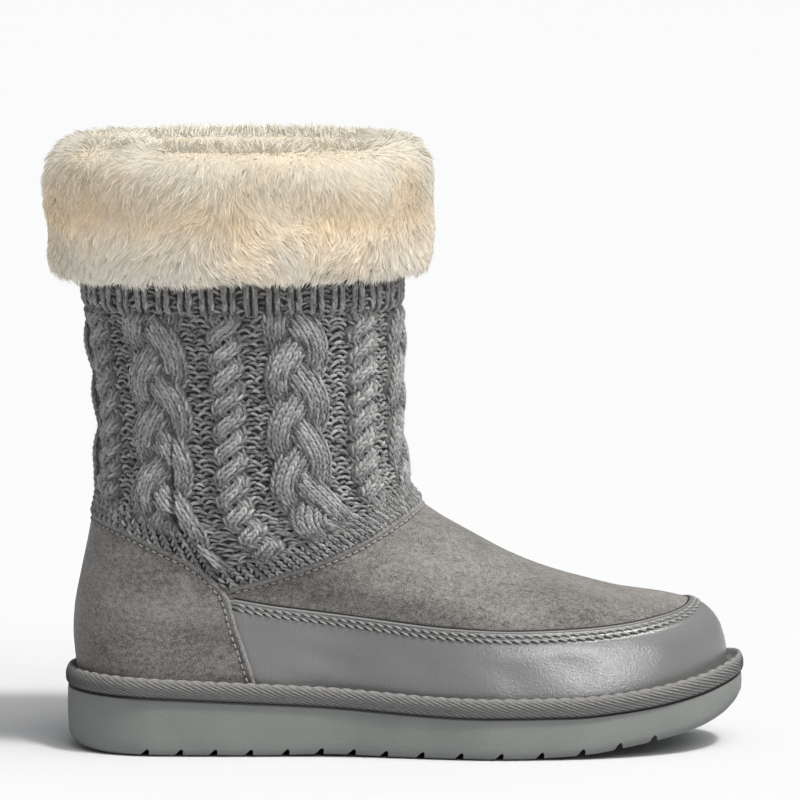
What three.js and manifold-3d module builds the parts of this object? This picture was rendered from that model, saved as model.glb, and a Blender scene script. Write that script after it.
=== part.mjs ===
// Snow boot for the right foot, standing empty on its sole. Millimetres, +Z up, toe towards +X,
// outer side of the foot towards -Y. While it is modelled, x = 0 is the back of the sole and z = 0
// is the floor; the finished boot is then moved so that its origin is under the middle of its box.
//
// Every part of the boot is worked out from one family of rings. A ring runs once round the foot or
// the leg: from its back point, along the outer side, round its front point and back along the
// inner side. The lowest rings have the outline of the sole and the highest the oval of the leg, so
// the stack of rings in LAST is the last that the boot is made on, from the feather edge to the rim.
import * as THREE from "three";
import { mergeVertices } from "three/addons/utils/BufferGeometryUtils.js";
import Module from "manifold-3d";

// ---- Driving dimensions, in mm ----
const SOLE_LENGTH = 270;
const RIM_HEIGHT = 237.5; // top edge of the upper's wall, inside the fold of the cuff
const COLLAR_HEIGHT = 243.5; // top of the fur
const UPPER_WALL = 4.6; // suede or knit backing, with the pile of the lining
const OVERLAY = 1.3; // leather guard and suede heel counter
const KNIT = 4.2; // body of the cable knit
const KNIT_EDGE = 1.4; // where the knit is sewn down under the suede
const KNIT_TAPER = 11; // height over which it swells from its edge to its body
const KNIT_TOP = 203.5; // the knit ends under the cuff
const FUR = 11.8; // pile of the cuff, outside the knit
const FUR_INSIDE = 4.4; // pile of the cuff, inside the rim
const INSOLE = 5;
const WELT_HEIGHT = 7.6;
const GAP = 0.3; // between neighbouring pieces

const AROUND = 44; // facets round a ring
const SQUARENESS = 2.15; // 2 makes the ends of a ring elliptical, more makes them blunter
const LEAN = 0.155; // how far back the cuff leans for each mm that it stands out past LEAN_FROM
const LEAN_FROM = 5;

// ---- Side view of the sole ----
const SOLE_TOP = [
  { x: 0, z: 24.4 },
  { x: 33, z: 23.1 },
  { x: 95, z: 20.3 },
  { x: 165, z: 16.5 },
  { x: 200, z: 16.7 },
  { x: 229, z: 19.1 },
  { x: 252, z: 23.1 },
  { x: 270, z: 28.3 },
];
// The heel and the tread are flat on the floor, the shank is lifted a little and the toe springs.
const SOLE_BOTTOM = [
  { x: 0, z: 2.8 },
  { x: 8, z: 0.8 },
  { x: 20, z: 0 },
  { x: 80, z: 0 },
  { x: 104, z: 0.6 },
  { x: 130, z: 0 },
  { x: 180, z: 0 },
  { x: 195, z: 0.6 },
  { x: 209, z: 1.6 },
  { x: 223, z: 3.8 },
  { x: 238, z: 6.4 },
  { x: 252, z: 9.6 },
  { x: 262, z: 13.6 },
  { x: 270, z: 18.6 },
];

// ---- Rings ----
// How far the middle of a foot-shaped ring swings to the inner side, along its length from 0 to 1.
const LAST_CURVE = [
  { along: 0, y: 0 },
  { along: 0.37, y: -3 },
  { along: 0.6, y: -2.2 },
  { along: 0.8, y: 1.6 },
  { along: 1, y: 6 },
];
const WIDEST = { heel: 0.15, waist: 0.37, ball: 0.66 }; // where each breadth is measured, 0 to 1

// The outline of the sole, seen from above.
const OUTLINE = {
  backX: 0, frontX: SOLE_LENGTH, heel: 36.8, waist: 35.6, ball: 47.6,
  heelRound: 38, noseRound: 76, curve: 1,
};

// backX, backZ and frontX, frontZ are the ends of a ring, heel, waist and ball its half breadths,
// and heelRound and noseRound how far from its ends it starts to round in. curve is its share of
// LAST_CURVE and follow its share of the sole's rise and fall.
const LAST = [
  {
    backX: 7.0, backZ: 24.4, frontX: 262.0, frontZ: 26.5, curve: 1.0, follow: 1.0,
    heel: 29.8, waist: 28.6, ball: 40.6, heelRound: 31, noseRound: 72,
  },
  {
    backX: 4.8, backZ: 32.5, frontX: 263.0, frontZ: 35.9, curve: 1.0, follow: 1.0,
    heel: 30.8, waist: 29.2, ball: 41.3, heelRound: 33, noseRound: 74,
  },
  {
    backX: 3.6, backZ: 45.5, frontX: 260.6, frontZ: 46.5, curve: 0.9, follow: 0.8,
    heel: 31.6, waist: 30.4, ball: 41.6, heelRound: 34, noseRound: 78,
  },
  {
    backX: 4.3, backZ: 55.5, frontX: 254.0, frontZ: 54.5, curve: 0.8, follow: 0.6,
    heel: 32.0, waist: 31.4, ball: 40.2, heelRound: 35, noseRound: 84,
  },
  {
    backX: 5.4, backZ: 62.5, frontX: 241.0, frontZ: 59.0, curve: 0.7, follow: 0.4,
    heel: 32.2, waist: 32.0, ball: 38.6, heelRound: 36, noseRound: 90,
  },
  {
    backX: 6.8, backZ: 69.5, frontX: 222.0, frontZ: 62.0, curve: 0.6, follow: 0.3,
    heel: 32.4, waist: 32.8, ball: 36.6, heelRound: 37, noseRound: 96,
  },
  {
    backX: 8.2, backZ: 76.5, frontX: 200.0, frontZ: 67.1, curve: 0.5, follow: 0.2,
    heel: 32.8, waist: 33.6, ball: 35.2, heelRound: 38, noseRound: 99,
  },
  {
    backX: 9.7, backZ: 83.5, frontX: 178.0, frontZ: 75.6, curve: 0.4, follow: 0.1,
    heel: 33.4, waist: 34.6, ball: 35.2, heelRound: 40, noseRound: 95,
  },
  {
    backX: 11.0, backZ: 90.5, frontX: 157.0, frontZ: 86.8, curve: 0.3, follow: 0,
    heel: 34.2, waist: 35.8, ball: 36.0, heelRound: 43, noseRound: 86,
  },
  {
    backX: 12.5, backZ: 97.5, frontX: 140.4, frontZ: 97.5, curve: 0.2, follow: 0,
    heel: 35.2, waist: 36.8, ball: 37.0, heelRound: 47, noseRound: 72,
  },
  {
    backX: 14.0, backZ: 105.5, frontX: 134.3, frontZ: 105.5, curve: 0.1, follow: 0,
    heel: 36.4, waist: 37.6, ball: 37.6, heelRound: 51, noseRound: 65,
  },
  {
    backX: 15.4, backZ: 115.5, frontX: 131.0, frontZ: 115.5, curve: 0, follow: 0,
    heel: 38.0, waist: 38.5, ball: 38.5, heelRound: 55, noseRound: 60,
  },
  {
    backX: 15.8, backZ: 131.5, frontX: 129.6, frontZ: 131.5, curve: 0, follow: 0,
    heel: 40.0, waist: 40.0, ball: 40.0, heelRound: 56, noseRound: 57,
  },
  {
    backX: 12.8, backZ: 157.5, frontX: 129.8, frontZ: 157.5, curve: 0, follow: 0,
    heel: 43.0, waist: 43.0, ball: 43.0, heelRound: 58, noseRound: 58,
  },
  {
    backX: 9.6, backZ: 185.5, frontX: 130.4, frontZ: 185.5, curve: 0, follow: 0,
    heel: 45.0, waist: 45.0, ball: 45.0, heelRound: 60, noseRound: 60,
  },
  {
    backX: 7.4, backZ: 213.5, frontX: 131.2, frontZ: 213.5, curve: 0, follow: 0,
    heel: 46.0, waist: 46.0, ball: 46.0, heelRound: 61, noseRound: 61,
  },
  {
    backX: 7.0, backZ: RIM_HEIGHT, frontX: 131.6, frontZ: RIM_HEIGHT, curve: 0, follow: 0,
    heel: 46.2, waist: 46.2, ball: 46.2, heelRound: 62, noseRound: 62,
  },
].map((row, level) => ({ level, ...row }));
const TOP_LEVEL = LAST.length - 1;
const SHAFT_LEVEL = 11; // from here up the rings lie flat

// ---- Seams, in side view and the same on both sides of the boot ----
// The edge of the suede heel counter: down from the back of the leg and then forward to the sole.
const COUNTER_EDGE = [
  { x: -4, z: 97 },
  { x: 10, z: 93.9 },
  { x: 21, z: 90.7 },
  { x: 38, z: 83.6 },
  { x: 51.5, z: 76.9 },
  { x: 60.8, z: 68.8 },
  { x: 64.8, z: 63.1 },
  { x: 68.2, z: 50.4 },
  { x: 71.1, z: 42.1 },
  { x: 75.7, z: 27.5 },
  { x: 81.0, z: 9.5 },
];
// The edge of the suede vamp, where the knit starts.
const TOPLINE = [
  { x: 58, z: 66.9 },
  { x: 69.6, z: 69.1 },
  { x: 88.8, z: 74.5 },
  { x: 110.4, z: 82.5 },
  { x: 124.8, z: 89.6 },
  { x: 139.3, z: 98 },
  { x: 160, z: 111.5 },
];
// The top edge of the leather guard that runs round the toe.
const GUARD_EDGE = [
  { x: 60, z: 63.9 },
  { x: 82, z: 59.9 },
  { x: 117, z: 55.6 },
  { x: 154, z: 51.4 },
  { x: 183, z: 50 },
  { x: 202, z: 50.2 },
  { x: 221, z: 51.3 },
  { x: 236, z: 53.3 },
  { x: 246, z: 55.3 },
  { x: 251, z: 57.9 },
  { x: 254, z: 63.5 },
];

// ---- Lugs ----
// The tread has an upright groove at each of these, closer together under the heel.
const GROOVES = [
  { x: 33 },
  { x: 46.6 },
  { x: 60.2 },
  { x: 74.4 },
  { x: 88.9 },
  { x: 102.5 },
  { x: 115.2 },
  { x: 128.1 },
  { x: 142.5 },
  { x: 157.9 },
  { x: 173.8 },
  { x: 190 },
  { x: 206.4 },
  { x: 221.3 },
  { x: 235.2 },
  { x: 248.7 },
];
const GROOVE_DEPTH = 2.9;
const GROOVE_RUN = 3.9; // length of a groove's sloping side
const GROOVE_TOP = 0.9; // width of its narrow top

const wasm = await Module();
wasm.setup();

// ---- Reading the tables ----

// Smooth value of a column between the rows of a table: a cubic that never overshoots the rows.
function read(table, key, column, at) {
  const last = table.length - 1;
  if (at <= table[0][key]) return table[0][column];
  if (at >= table[last][key]) return table[last][column];
  const rise = (i) =>
    (table[i + 1][column] - table[i][column]) / (table[i + 1][key] - table[i][key]);
  const slope = (i) => {
    if (i === 0) return rise(0);
    if (i === last) return rise(last - 1);
    const [a, b] = [rise(i - 1), rise(i)];
    return a * b <= 0 ? 0 : (2 * a * b) / (a + b);
  };
  let i = 0;
  while (at > table[i + 1][key]) i++;
  const width = table[i + 1][key] - table[i][key];
  const s = (at - table[i][key]) / width;
  return (
    table[i][column] * (1 + 2 * s) * (1 - s) ** 2 +
    table[i + 1][column] * s * s * (3 - 2 * s) +
    width * (slope(i) * s * (1 - s) ** 2 + slope(i + 1) * s * s * (s - 1))
  );
}

const soleTop = (x) => read(SOLE_TOP, "x", "z", x);
const soleBottom = (x) => read(SOLE_BOTTOM, "x", "z", x);
const mix = (a, b, s) => a + (b - a) * s;

// The ring of the last at a level, which may lie between two rows.
function lastRing(level) {
  const ring = {};
  for (const column of Object.keys(LAST[0])) ring[column] = read(LAST, "level", column, level);
  return ring;
}

// The outline of the sole with its sides moved out by that much, and its ends by that or by ends.
function outlineRing(outset, ends = outset) {
  return {
    ...OUTLINE,
    backX: OUTLINE.backX - ends,
    frontX: OUTLINE.frontX + ends,
    heel: OUTLINE.heel + outset,
    waist: OUTLINE.waist + outset,
    ball: OUTLINE.ball + outset,
  };
}

// A flat ring of the leg at any height, moved out by that much and leaning back a little with it.
function legRing(z, outset) {
  let level = SHAFT_LEVEL;
  while (level < TOP_LEVEL - 1 && LAST[level + 1].backZ < z) level++;
  const rise = LAST[level + 1].backZ - LAST[level].backZ;
  const ring = lastRing(Math.min(TOP_LEVEL, level + (z - LAST[level].backZ) / rise));
  const lean = LEAN * Math.max(0, outset - LEAN_FROM);
  return {
    ...ring,
    backX: ring.backX - outset - lean,
    frontX: ring.frontX + outset - lean,
    backZ: z,
    frontZ: z,
    heel: ring.heel + outset,
    waist: ring.waist + outset,
    ball: ring.ball + outset,
    heelRound: ring.heelRound + outset,
    noseRound: ring.noseRound + outset,
  };
}

// ---- Points on rings ----

// How far a ring has rounded in, from 0 at its end to 1 where it is full.
function endShare(distance, round) {
  const s = Math.min(1, Math.max(0, distance / round));
  return (1 - (1 - s) ** SQUARENESS) ** (1 / SQUARENESS);
}

// The point of a ring at an angle: 0 is its back, a quarter turn its outer side and half its front.
function ringXY(ring, angle) {
  const length = ring.frontX - ring.backX;
  const along = (1 - Math.cos(angle)) / 2;
  const breadths = [
    { along: 0, half: ring.heel },
    { along: WIDEST.heel, half: ring.heel },
    { along: WIDEST.waist, half: ring.waist },
    { along: WIDEST.ball, half: ring.ball },
    { along: 1, half: ring.ball },
  ];
  const half =
    read(breadths, "along", "half", along) *
    endShare(along * length, ring.heelRound) *
    endShare((1 - along) * length, ring.noseRound);
  const side = Math.sin(angle) >= 0 ? -1 : 1;
  const middle = ring.curve * read(LAST_CURVE, "along", "y", along);
  return { along, x: ring.backX + along * length, y: middle + side * half };
}

// A point of the last. Low rings rise and fall with the top of the sole.
function lastPoint(level, angle) {
  const ring = lastRing(level);
  const { along, x, y } = ringXY(ring, angle);
  const camber = soleTop(x) - mix(soleTop(ring.backX), soleTop(ring.frontX), along);
  return new THREE.Vector3(x, y, mix(ring.backZ, ring.frontZ, along) + ring.follow * camber);
}

// The same point moved out from the last's surface, or in if the distance is negative.
function offsetPoint(level, angle, distance) {
  const step = 0.02;
  const [low, high] = [Math.max(0, level - step), Math.min(TOP_LEVEL, level + step)];
  const up = lastPoint(high, angle).sub(lastPoint(low, angle));
  const round = lastPoint(level, angle + step).sub(lastPoint(level, angle - step));
  const normal = round.cross(up);
  if (level === 0 || level === TOP_LEVEL) normal.z = 0; // the ends of the wall stay level
  const point = lastPoint(level, angle).addScaledVector(normal.normalize(), distance);
  if (level === 0) point.z = soleTop(point.x) + GAP; // its foot stands on the sole
  return point;
}

const ANGLES = Array.from({ length: AROUND }, (_, i) => (2 * Math.PI * i) / AROUND);
const lastLoop = (level, distance) => ANGLES.map((a) => offsetPoint(level, a, distance));
const flatLoop = (ring, height) =>
  ANGLES.map((a) => {
    const { x, y } = ringXY(ring, a);
    return new THREE.Vector3(x, y, height(x));
  });
const legLoop = (z, outset) => flatLoop(legRing(z, outset), () => z);

// ---- Making solids from loops ----

// A mesh through a list of loops. A closed list wraps round into a ring-shaped solid, an open one
// is capped at both ends by strips that cross from its outer side to its inner side. Every facet is
// split along the same diagonal whether its loops rise or fall, so that neighbours stay parallel.
function loft(loops, closed) {
  const points = loops.flat();
  const faces = [];
  const last = closed ? loops.length : loops.length - 1;
  for (let i = 0; i < last; i++) {
    for (let j = 0; j < AROUND; j++) {
      const [a, b] = [i * AROUND + j, i * AROUND + ((j + 1) % AROUND)];
      const up = ((i + 1) % loops.length) * AROUND - i * AROUND;
      if (points[a + up].z > points[a].z) faces.push([a, b, b + up], [a, b + up, a + up]);
      else faces.push([a, b, a + up], [b, b + up, a + up]);
    }
  }
  if (!closed) {
    const top = (loops.length - 1) * AROUND;
    for (let j = 0; j < AROUND / 2; j++) {
      const [a, b] = [j, j + 1];
      const [c, d] = [(AROUND - j - 1) % AROUND, (AROUND - j) % AROUND];
      for (const [p, q, r] of [[a, c, b], [a, d, c]]) {
        if (new Set([p, q, r]).size < 3) continue;
        faces.push([p, q, r], [top + p, top + r, top + q]);
      }
    }
  }
  return solidOf(points.flatMap((p) => [p.x, p.y, p.z]), faces.flat());
}

function solidOf(positions, indices) {
  return new wasm.Manifold(
    new wasm.Mesh({
      numProp: 3,
      vertProperties: new Float32Array(positions),
      triVerts: new Uint32Array(indices),
    }),
  );
}

// A solid from a three.js geometry, whose shared vertices are merged first.
function solidOfGeometry(geometry) {
  const bare = new THREE.BufferGeometry();
  bare.setAttribute("position", geometry.getAttribute("position"));
  if (geometry.index) bare.setIndex(geometry.index);
  const merged = mergeVertices(bare, 1e-4);
  return solidOf([...merged.attributes.position.array], [...merged.index.array]);
}

function geometryOf(solid) {
  const mesh = solid.getMesh();
  const positions = new Float32Array(mesh.numVert * 3);
  for (let i = 0; i < mesh.numVert; i++) {
    positions.set(mesh.vertProperties.subarray(i * mesh.numProp, i * mesh.numProp + 3), i * 3);
  }
  const geometry = new THREE.BufferGeometry();
  geometry.setAttribute("position", new THREE.BufferAttribute(positions, 3));
  geometry.setIndex(new THREE.BufferAttribute(new Uint32Array(mesh.triVerts), 1));
  geometry.computeVertexNormals();
  return geometry;
}

// A wall right across the boot with that outline in side view.
function sideCut(outline) {
  const depth = 160;
  const shape = new THREE.Shape(outline.map(({ x, z }) => new THREE.Vector2(x, z)));
  const geometry = new THREE.ExtrudeGeometry(shape, { depth, bevelEnabled: false });
  geometry.rotateX(Math.PI / 2).translate(0, depth / 2, 0);
  return solidOfGeometry(geometry);
}

// Points along a seam from one x to another.
function along(seam, from, to, steps, shift = 0) {
  return Array.from({ length: steps + 1 }, (_, i) => {
    const x = mix(from, to, i / steps);
    return { x, z: read(seam, "x", "z", x) + shift };
  });
}

// ---- Levels that the pieces are sampled at ----
const FOOT_LEVELS = [0, 0.5, 1, 2, 3, 4, 5, 6, 7, 8, 9, 10];
const LEG_LEVELS = [11, 12, 13, 14];
const SEAM_X = 64.8; // where counter, vamp and guard meet
const BELOW = 8; // a height that is under every overlay

// The outer and inner forms between which the overlays are cut.
function overlayShell() {
  return loft(
    [
      ...FOOT_LEVELS.map((level) => lastLoop(level, GAP + OVERLAY)),
      ...FOOT_LEVELS.toReversed().map((level) => lastLoop(level, GAP)),
    ],
    true,
  );
}

function upper() {
  const levels = [...FOOT_LEVELS, ...LEG_LEVELS, 15, TOP_LEVEL];
  return loft(
    [
      ...levels.map((level) => lastLoop(level, 0)),
      ...levels.toReversed().map((level) => lastLoop(level, -UPPER_WALL)),
    ],
    true,
  );
}

// The leather guard: below its own edge and ahead of the heel counter.
function guard() {
  const front = SOLE_LENGTH + 20;
  const edgeTop = GUARD_EDGE.at(-1);
  const foot = COUNTER_EDGE.at(-1);
  return overlayShell().intersect(
    sideCut([
      { x: foot.x + GAP, z: BELOW },
      { x: front, z: BELOW },
      { x: front, z: edgeTop.z - 1.5 },
      ...along(GUARD_EDGE, edgeTop.x, SEAM_X + 3, 24),
      ...along(COUNTER_EDGE, SEAM_X + 1, 80, 10).map(({ x, z }) => ({ x: x + 2 * GAP, z })),
    ]),
  );
}

// The suede heel counter: below and behind its edge.
function counter() {
  const [top, foot] = [COUNTER_EDGE[0], COUNTER_EDGE.at(-1)];
  const back = top.x - 16;
  return overlayShell().intersect(
    sideCut([
      { x: back, z: BELOW },
      ...along(COUNTER_EDGE, foot.x, top.x, 26),
      { x: back, z: top.z - 1.5 },
    ]),
  );
}

// The knitted sleeve. It is thin where it is sewn under the suede and swells to its body above.
function knitShaft() {
  const seamHeight = (x) =>
    x < SEAM_X ? read(COUNTER_EDGE, "x", "z", x) : read(TOPLINE, "x", "z", x);
  const levels = [...FOOT_LEVELS.filter((level) => level >= 3), ...LEG_LEVELS];
  const outer = levels.map((level) =>
    ANGLES.map((angle) => {
      const at = lastPoint(level, angle);
      const s = Math.min(1, Math.max(0, (at.z - seamHeight(at.x)) / KNIT_TAPER));
      return offsetPoint(level, angle, GAP + mix(KNIT_EDGE, KNIT, s * (2 - s)));
    }),
  );
  const sleeve = loft(
    [
      ...outer,
      legLoop(KNIT_TOP, GAP + KNIT),
      legLoop(KNIT_TOP, GAP),
      ...levels.toReversed().map((level) => lastLoop(level, GAP)),
    ],
    true,
  );
  const clearance = OVERLAY / 3;
  const cut = sideCut([
    { x: -40, z: 250 },
    { x: -40, z: 96 },
    ...along(COUNTER_EDGE, -4, SEAM_X - 2, 20, clearance),
    ...along(TOPLINE, SEAM_X + 0.5, 160, 20, clearance),
    { x: 200, z: 110 },
    { x: 200, z: 250 },
  ]);
  return sleeve.intersect(cut);
}

// The fur cuff: folded over the rim, short inside and long outside, where it lies over the knit.
function furCuff() {
  const overKnit = GAP + KNIT + GAP;
  const full = overKnit + FUR;
  const inside = -UPPER_WALL - GAP;
  const pile = inside - FUR_INSIDE;
  return loft(
    [
      [189, overKnit],
      [186.1, overKnit + 0.3 * FUR],
      [186.7, overKnit + 0.72 * FUR],
      [191.5, full - 0.9],
      [201.5, full],
      [217.5, full - 0.4],
      [230.5, full - 1.4],
      [239, full - 5],
      [COLLAR_HEIGHT - 0.6, overKnit + 1.5],
      [COLLAR_HEIGHT, 0],
      [COLLAR_HEIGHT - 1.4, inside - 1],
      [237.5, pile],
      [227.5, pile - 0.4],
      [220.5, inside - 1.2],
      [220.5, inside],
      [RIM_HEIGHT + GAP, inside],
      [RIM_HEIGHT + GAP, GAP],
      [KNIT_TOP + GAP, GAP],
      [KNIT_TOP + GAP, overKnit],
    ].map(([z, outset]) => legLoop(z, outset)),
    true,
  );
}

// The corded welt that hides the joint of upper and sole: rounded outside, fitted to the upper.
function welt() {
  const height = (rise) => (x) => soleTop(x) + GAP + rise;
  const clear = GAP + OVERLAY + GAP;
  return loft(
    [
      flatLoop(outlineRing(-0.6), height(0)),
      flatLoop(outlineRing(0.5), height(1.4)),
      flatLoop(outlineRing(0.9), height(3.6)),
      flatLoop(outlineRing(0.1), height(6.2)),
      flatLoop(outlineRing(-2.2), height(WELT_HEIGHT)),
      lastLoop(0.8, clear + 0.6),
      lastLoop(0.7, clear),
      lastLoop(0, clear),
    ],
    true,
  );
}

// The unit sole, with a rounded lower edge and the grooves between its lugs.
function outsole() {
  const wall = (share) => (x) => mix(soleBottom(x), soleTop(x), share);
  let sole = loft(
    [
      flatLoop(outlineRing(-4.2, -4), soleBottom),
      flatLoop(outlineRing(-1.7, -1), (x) => soleBottom(x) + 1.3),
      flatLoop(outlineRing(-0.9, 0.3), wall(0.3)),
      flatLoop(outlineRing(-0.8, 0.5), wall(0.75)),
      flatLoop(outlineRing(-0.7, 0.2), soleTop),
    ],
    false,
  );
  for (const { x } of GROOVES) sole = sole.subtract(groove(x));
  return sole;
}

// A groove right across the tread, upright towards the toe and sloping towards the heel.
function groove(x) {
  const slope = (soleBottom(x + 2) - soleBottom(x - 2)) / 4;
  const at = (dx, depth) => ({ x: x + dx - slope * depth, z: soleBottom(x) + slope * dx + depth });
  return sideCut([
    at(0, -4),
    at(0, GROOVE_DEPTH),
    at(-GROOVE_TOP, GROOVE_DEPTH),
    at(-GROOVE_RUN, -0.4),
    at(-GROOVE_RUN, -4),
  ]);
}

// The footbed, inside the upper's wall and on top of the sole.
function insole() {
  const clear = -UPPER_WALL - GAP - 0.8;
  const flat = lastLoop(0, clear);
  const raised = (rise, inset) =>
    lastLoop(0, clear - inset).map((p) => p.clone().setZ(soleTop(p.x) + GAP + rise));
  return loft([flat.map((p) => p.clone().setZ(soleTop(p.x) + GAP)), raised(INSOLE, 0.6)], false);
}

// ---- Materials and assembly ----
const suede = { color: 0x857f79, roughness: 0.95, metalness: 0 };
const leather = { color: 0x828280, roughness: 0.45, metalness: 0 };
const PIECES = [
  { name: "outsole", solid: outsole(), look: { color: 0x7d7f7c, roughness: 0.8, metalness: 0 } },
  { name: "welt", solid: welt(), look: { color: 0x8b8b88, roughness: 0.9, metalness: 0 } },
  { name: "insole", solid: insole(), look: { color: 0xd9cfbd, roughness: 1, metalness: 0 } },
  { name: "upper", solid: upper(), look: suede },
  { name: "toe_guard", solid: guard(), look: leather },
  { name: "heel_counter", solid: counter(), look: suede },
  { name: "knit_shaft", solid: knitShaft(), look: { color: 0x83827f, roughness: 1, metalness: 0 } },
  { name: "fur_cuff", solid: furCuff(), look: { color: 0xe6dccb, roughness: 1, metalness: 0 } },
];

const boot = new THREE.Group();
for (const { name, solid, look } of PIECES) {
  const mesh = new THREE.Mesh(geometryOf(solid), new THREE.MeshStandardMaterial(look));
  mesh.name = name;
  boot.add(mesh);
}

// The origin is on the floor under the middle of the boot's box.
const box = new THREE.Box3().setFromObject(boot);
boot.position.set(-(box.min.x + box.max.x) / 2, -(box.min.y + box.max.y) / 2, 0);

export default boot;
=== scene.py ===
"""The looks of the snow boot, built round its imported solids.

Everything follows the last that the boot is made on, the same stack of rings as in the solids. A
place on it is a level, from 0 at the feather edge to 16 at the rim, and an angle round the ring: 0
at the back, a quarter turn on the outer side, half a turn at the front. Lengths are millimetres
with x = 0 at the back of the sole; they become the frame's metres as each mesh is made.
"""

import math

import bpy
import numpy as np
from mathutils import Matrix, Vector


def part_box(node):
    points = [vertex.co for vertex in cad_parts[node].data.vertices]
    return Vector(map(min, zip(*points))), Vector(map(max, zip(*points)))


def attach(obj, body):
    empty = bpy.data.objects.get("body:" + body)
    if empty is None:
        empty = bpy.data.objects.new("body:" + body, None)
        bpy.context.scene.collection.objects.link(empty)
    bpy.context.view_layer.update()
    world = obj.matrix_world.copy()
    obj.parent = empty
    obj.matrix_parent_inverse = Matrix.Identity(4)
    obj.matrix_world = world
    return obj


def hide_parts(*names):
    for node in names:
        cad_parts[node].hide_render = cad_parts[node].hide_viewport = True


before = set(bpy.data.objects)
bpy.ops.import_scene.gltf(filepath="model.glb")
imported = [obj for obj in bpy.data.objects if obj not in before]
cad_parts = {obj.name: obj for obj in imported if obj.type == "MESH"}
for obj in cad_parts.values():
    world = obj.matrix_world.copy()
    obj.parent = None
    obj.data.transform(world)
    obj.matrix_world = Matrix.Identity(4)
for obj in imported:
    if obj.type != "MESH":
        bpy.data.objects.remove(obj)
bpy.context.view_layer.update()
random = np.random.default_rng(38)

# ---- The last, as in the solids ----
SOLE_LENGTH = 270
GAP = 0.3
OVERLAY = 1.3
WALL = 4.6
INSOLE = 5.0
SQUARENESS = 2.15
BACK_OF_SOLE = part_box("outsole")[0].x * 1000 + 0.5  # where x = 0 is in the frame

SOLE_TOP = {
    "x": (0, 33, 95, 165, 200, 229, 252, 270),
    "z": (24.4, 23.1, 20.3, 16.5, 16.7, 19.1, 23.1, 28.3),
}
SOLE_BOTTOM = {
    "x": (0, 8, 20, 80, 104, 130, 180, 195, 209, 223, 238, 252, 262, 270),
    "z": (2.8, 0.8, 0, 0, 0.6, 0, 0, 0.6, 1.6, 3.8, 6.4, 9.6, 13.6, 18.6),
}
LAST_CURVE = {"along": (0, 0.37, 0.6, 0.8, 1), "y": (0, -3, -2.2, 1.6, 6)}
WIDEST = {"heel": 0.15, "waist": 0.37, "ball": 0.66}
OUTLINE = {
    "backX": 0, "frontX": SOLE_LENGTH, "heel": 36.8, "waist": 35.6, "ball": 47.6,
    "heelRound": 38, "noseRound": 76, "curve": 1,
}
# One column for each level: the ends of the ring, its half breadths, how far from its ends it
# rounds in, and its share of the curve and of the sole's rise and fall.
LAST = {
    "backX": (7, 4.8, 3.6, 4.3, 5.4, 6.8, 8.2, 9.7, 11, 12.5, 14, 15.4, 15.8, 12.8, 9.6, 7.4, 7),
    "backZ": (24.4, 32.5, 45.5, 55.5, 62.5, 69.5, 76.5, 83.5, 90.5, 97.5, 105.5, 115.5, 131.5,
              157.5, 185.5, 213.5, 237.5),
    "frontX": (262, 263, 260.6, 254, 241, 222, 200, 178, 157, 140.4, 134.3, 131, 129.6, 129.8,
               130.4, 131.2, 131.6),
    "frontZ": (26.5, 35.9, 46.5, 54.5, 59, 62, 67.1, 75.6, 86.8, 97.5, 105.5, 115.5, 131.5,
               157.5, 185.5, 213.5, 237.5),
    "heel": (29.8, 30.8, 31.6, 32, 32.2, 32.4, 32.8, 33.4, 34.2, 35.2, 36.4, 38, 40, 43, 45,
             46, 46.2),
    "waist": (28.6, 29.2, 30.4, 31.4, 32, 32.8, 33.6, 34.6, 35.8, 36.8, 37.6, 38.5, 40, 43, 45,
              46, 46.2),
    "ball": (40.6, 41.3, 41.6, 40.2, 38.6, 36.6, 35.2, 35.2, 36, 37, 37.6, 38.5, 40, 43, 45,
             46, 46.2),
    "heelRound": (31, 33, 34, 35, 36, 37, 38, 40, 43, 47, 51, 55, 56, 58, 60, 61, 62),
    "noseRound": (72, 74, 78, 84, 90, 96, 99, 95, 86, 72, 65, 60, 57, 58, 60, 61, 62),
    "curve": (1, 1, 0.9, 0.8, 0.7, 0.6, 0.5, 0.4, 0.3, 0.2, 0.1, 0, 0, 0, 0, 0, 0),
    "follow": (1, 1, 0.8, 0.6, 0.4, 0.3, 0.2, 0.1, 0, 0, 0, 0, 0, 0, 0, 0, 0),
}
TOP_LEVEL = 16
LEG_LEVEL = 11  # the rings are level from here up
SEAM_TOP_LEVEL = 12  # no seam reaches higher
CUFF_LEAN = {"from": 5, "share": 0.155}  # how much rings that stand out from the leg lean back
HALVINGS = 30  # steps of a search between two levels
SEAM_STEP = 0.8  # mm between the points of a seam
COUNTER_EDGE = {
    "x": (-4, 10, 21, 38, 51.5, 60.8, 64.8, 68.2, 71.1, 75.7, 81),
    "z": (97, 93.9, 90.7, 83.6, 76.9, 68.8, 63.1, 50.4, 42.1, 27.5, 9.5),
}
TOPLINE = {
    "x": (58, 69.6, 88.8, 110.4, 124.8, 139.3, 160),
    "z": (66.9, 69.1, 74.5, 82.5, 89.6, 98, 111.5),
}
GUARD_EDGE = {
    "x": (60, 82, 117, 154, 183, 202, 221, 236, 246, 251, 254),
    "z": (63.9, 59.9, 55.6, 51.4, 50, 50.2, 51.3, 53.3, 55.3, 57.9, 63.5),
}
WELT_CORD = {"pitch": 3.2, "slant": 2.5, "scallop": 5.5}
SEAM_X = 64.8
GROOVE_X = (33, 46.6, 60.2, 74.4, 88.9, 102.5, 115.2, 128.1, 142.5, 157.9, 173.8, 190, 206.4,
            221.3, 235.2)
GROOVE = {"depth": 2.9, "run": 3.9, "top": 0.9, "below": 4, "reach": 80}


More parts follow.
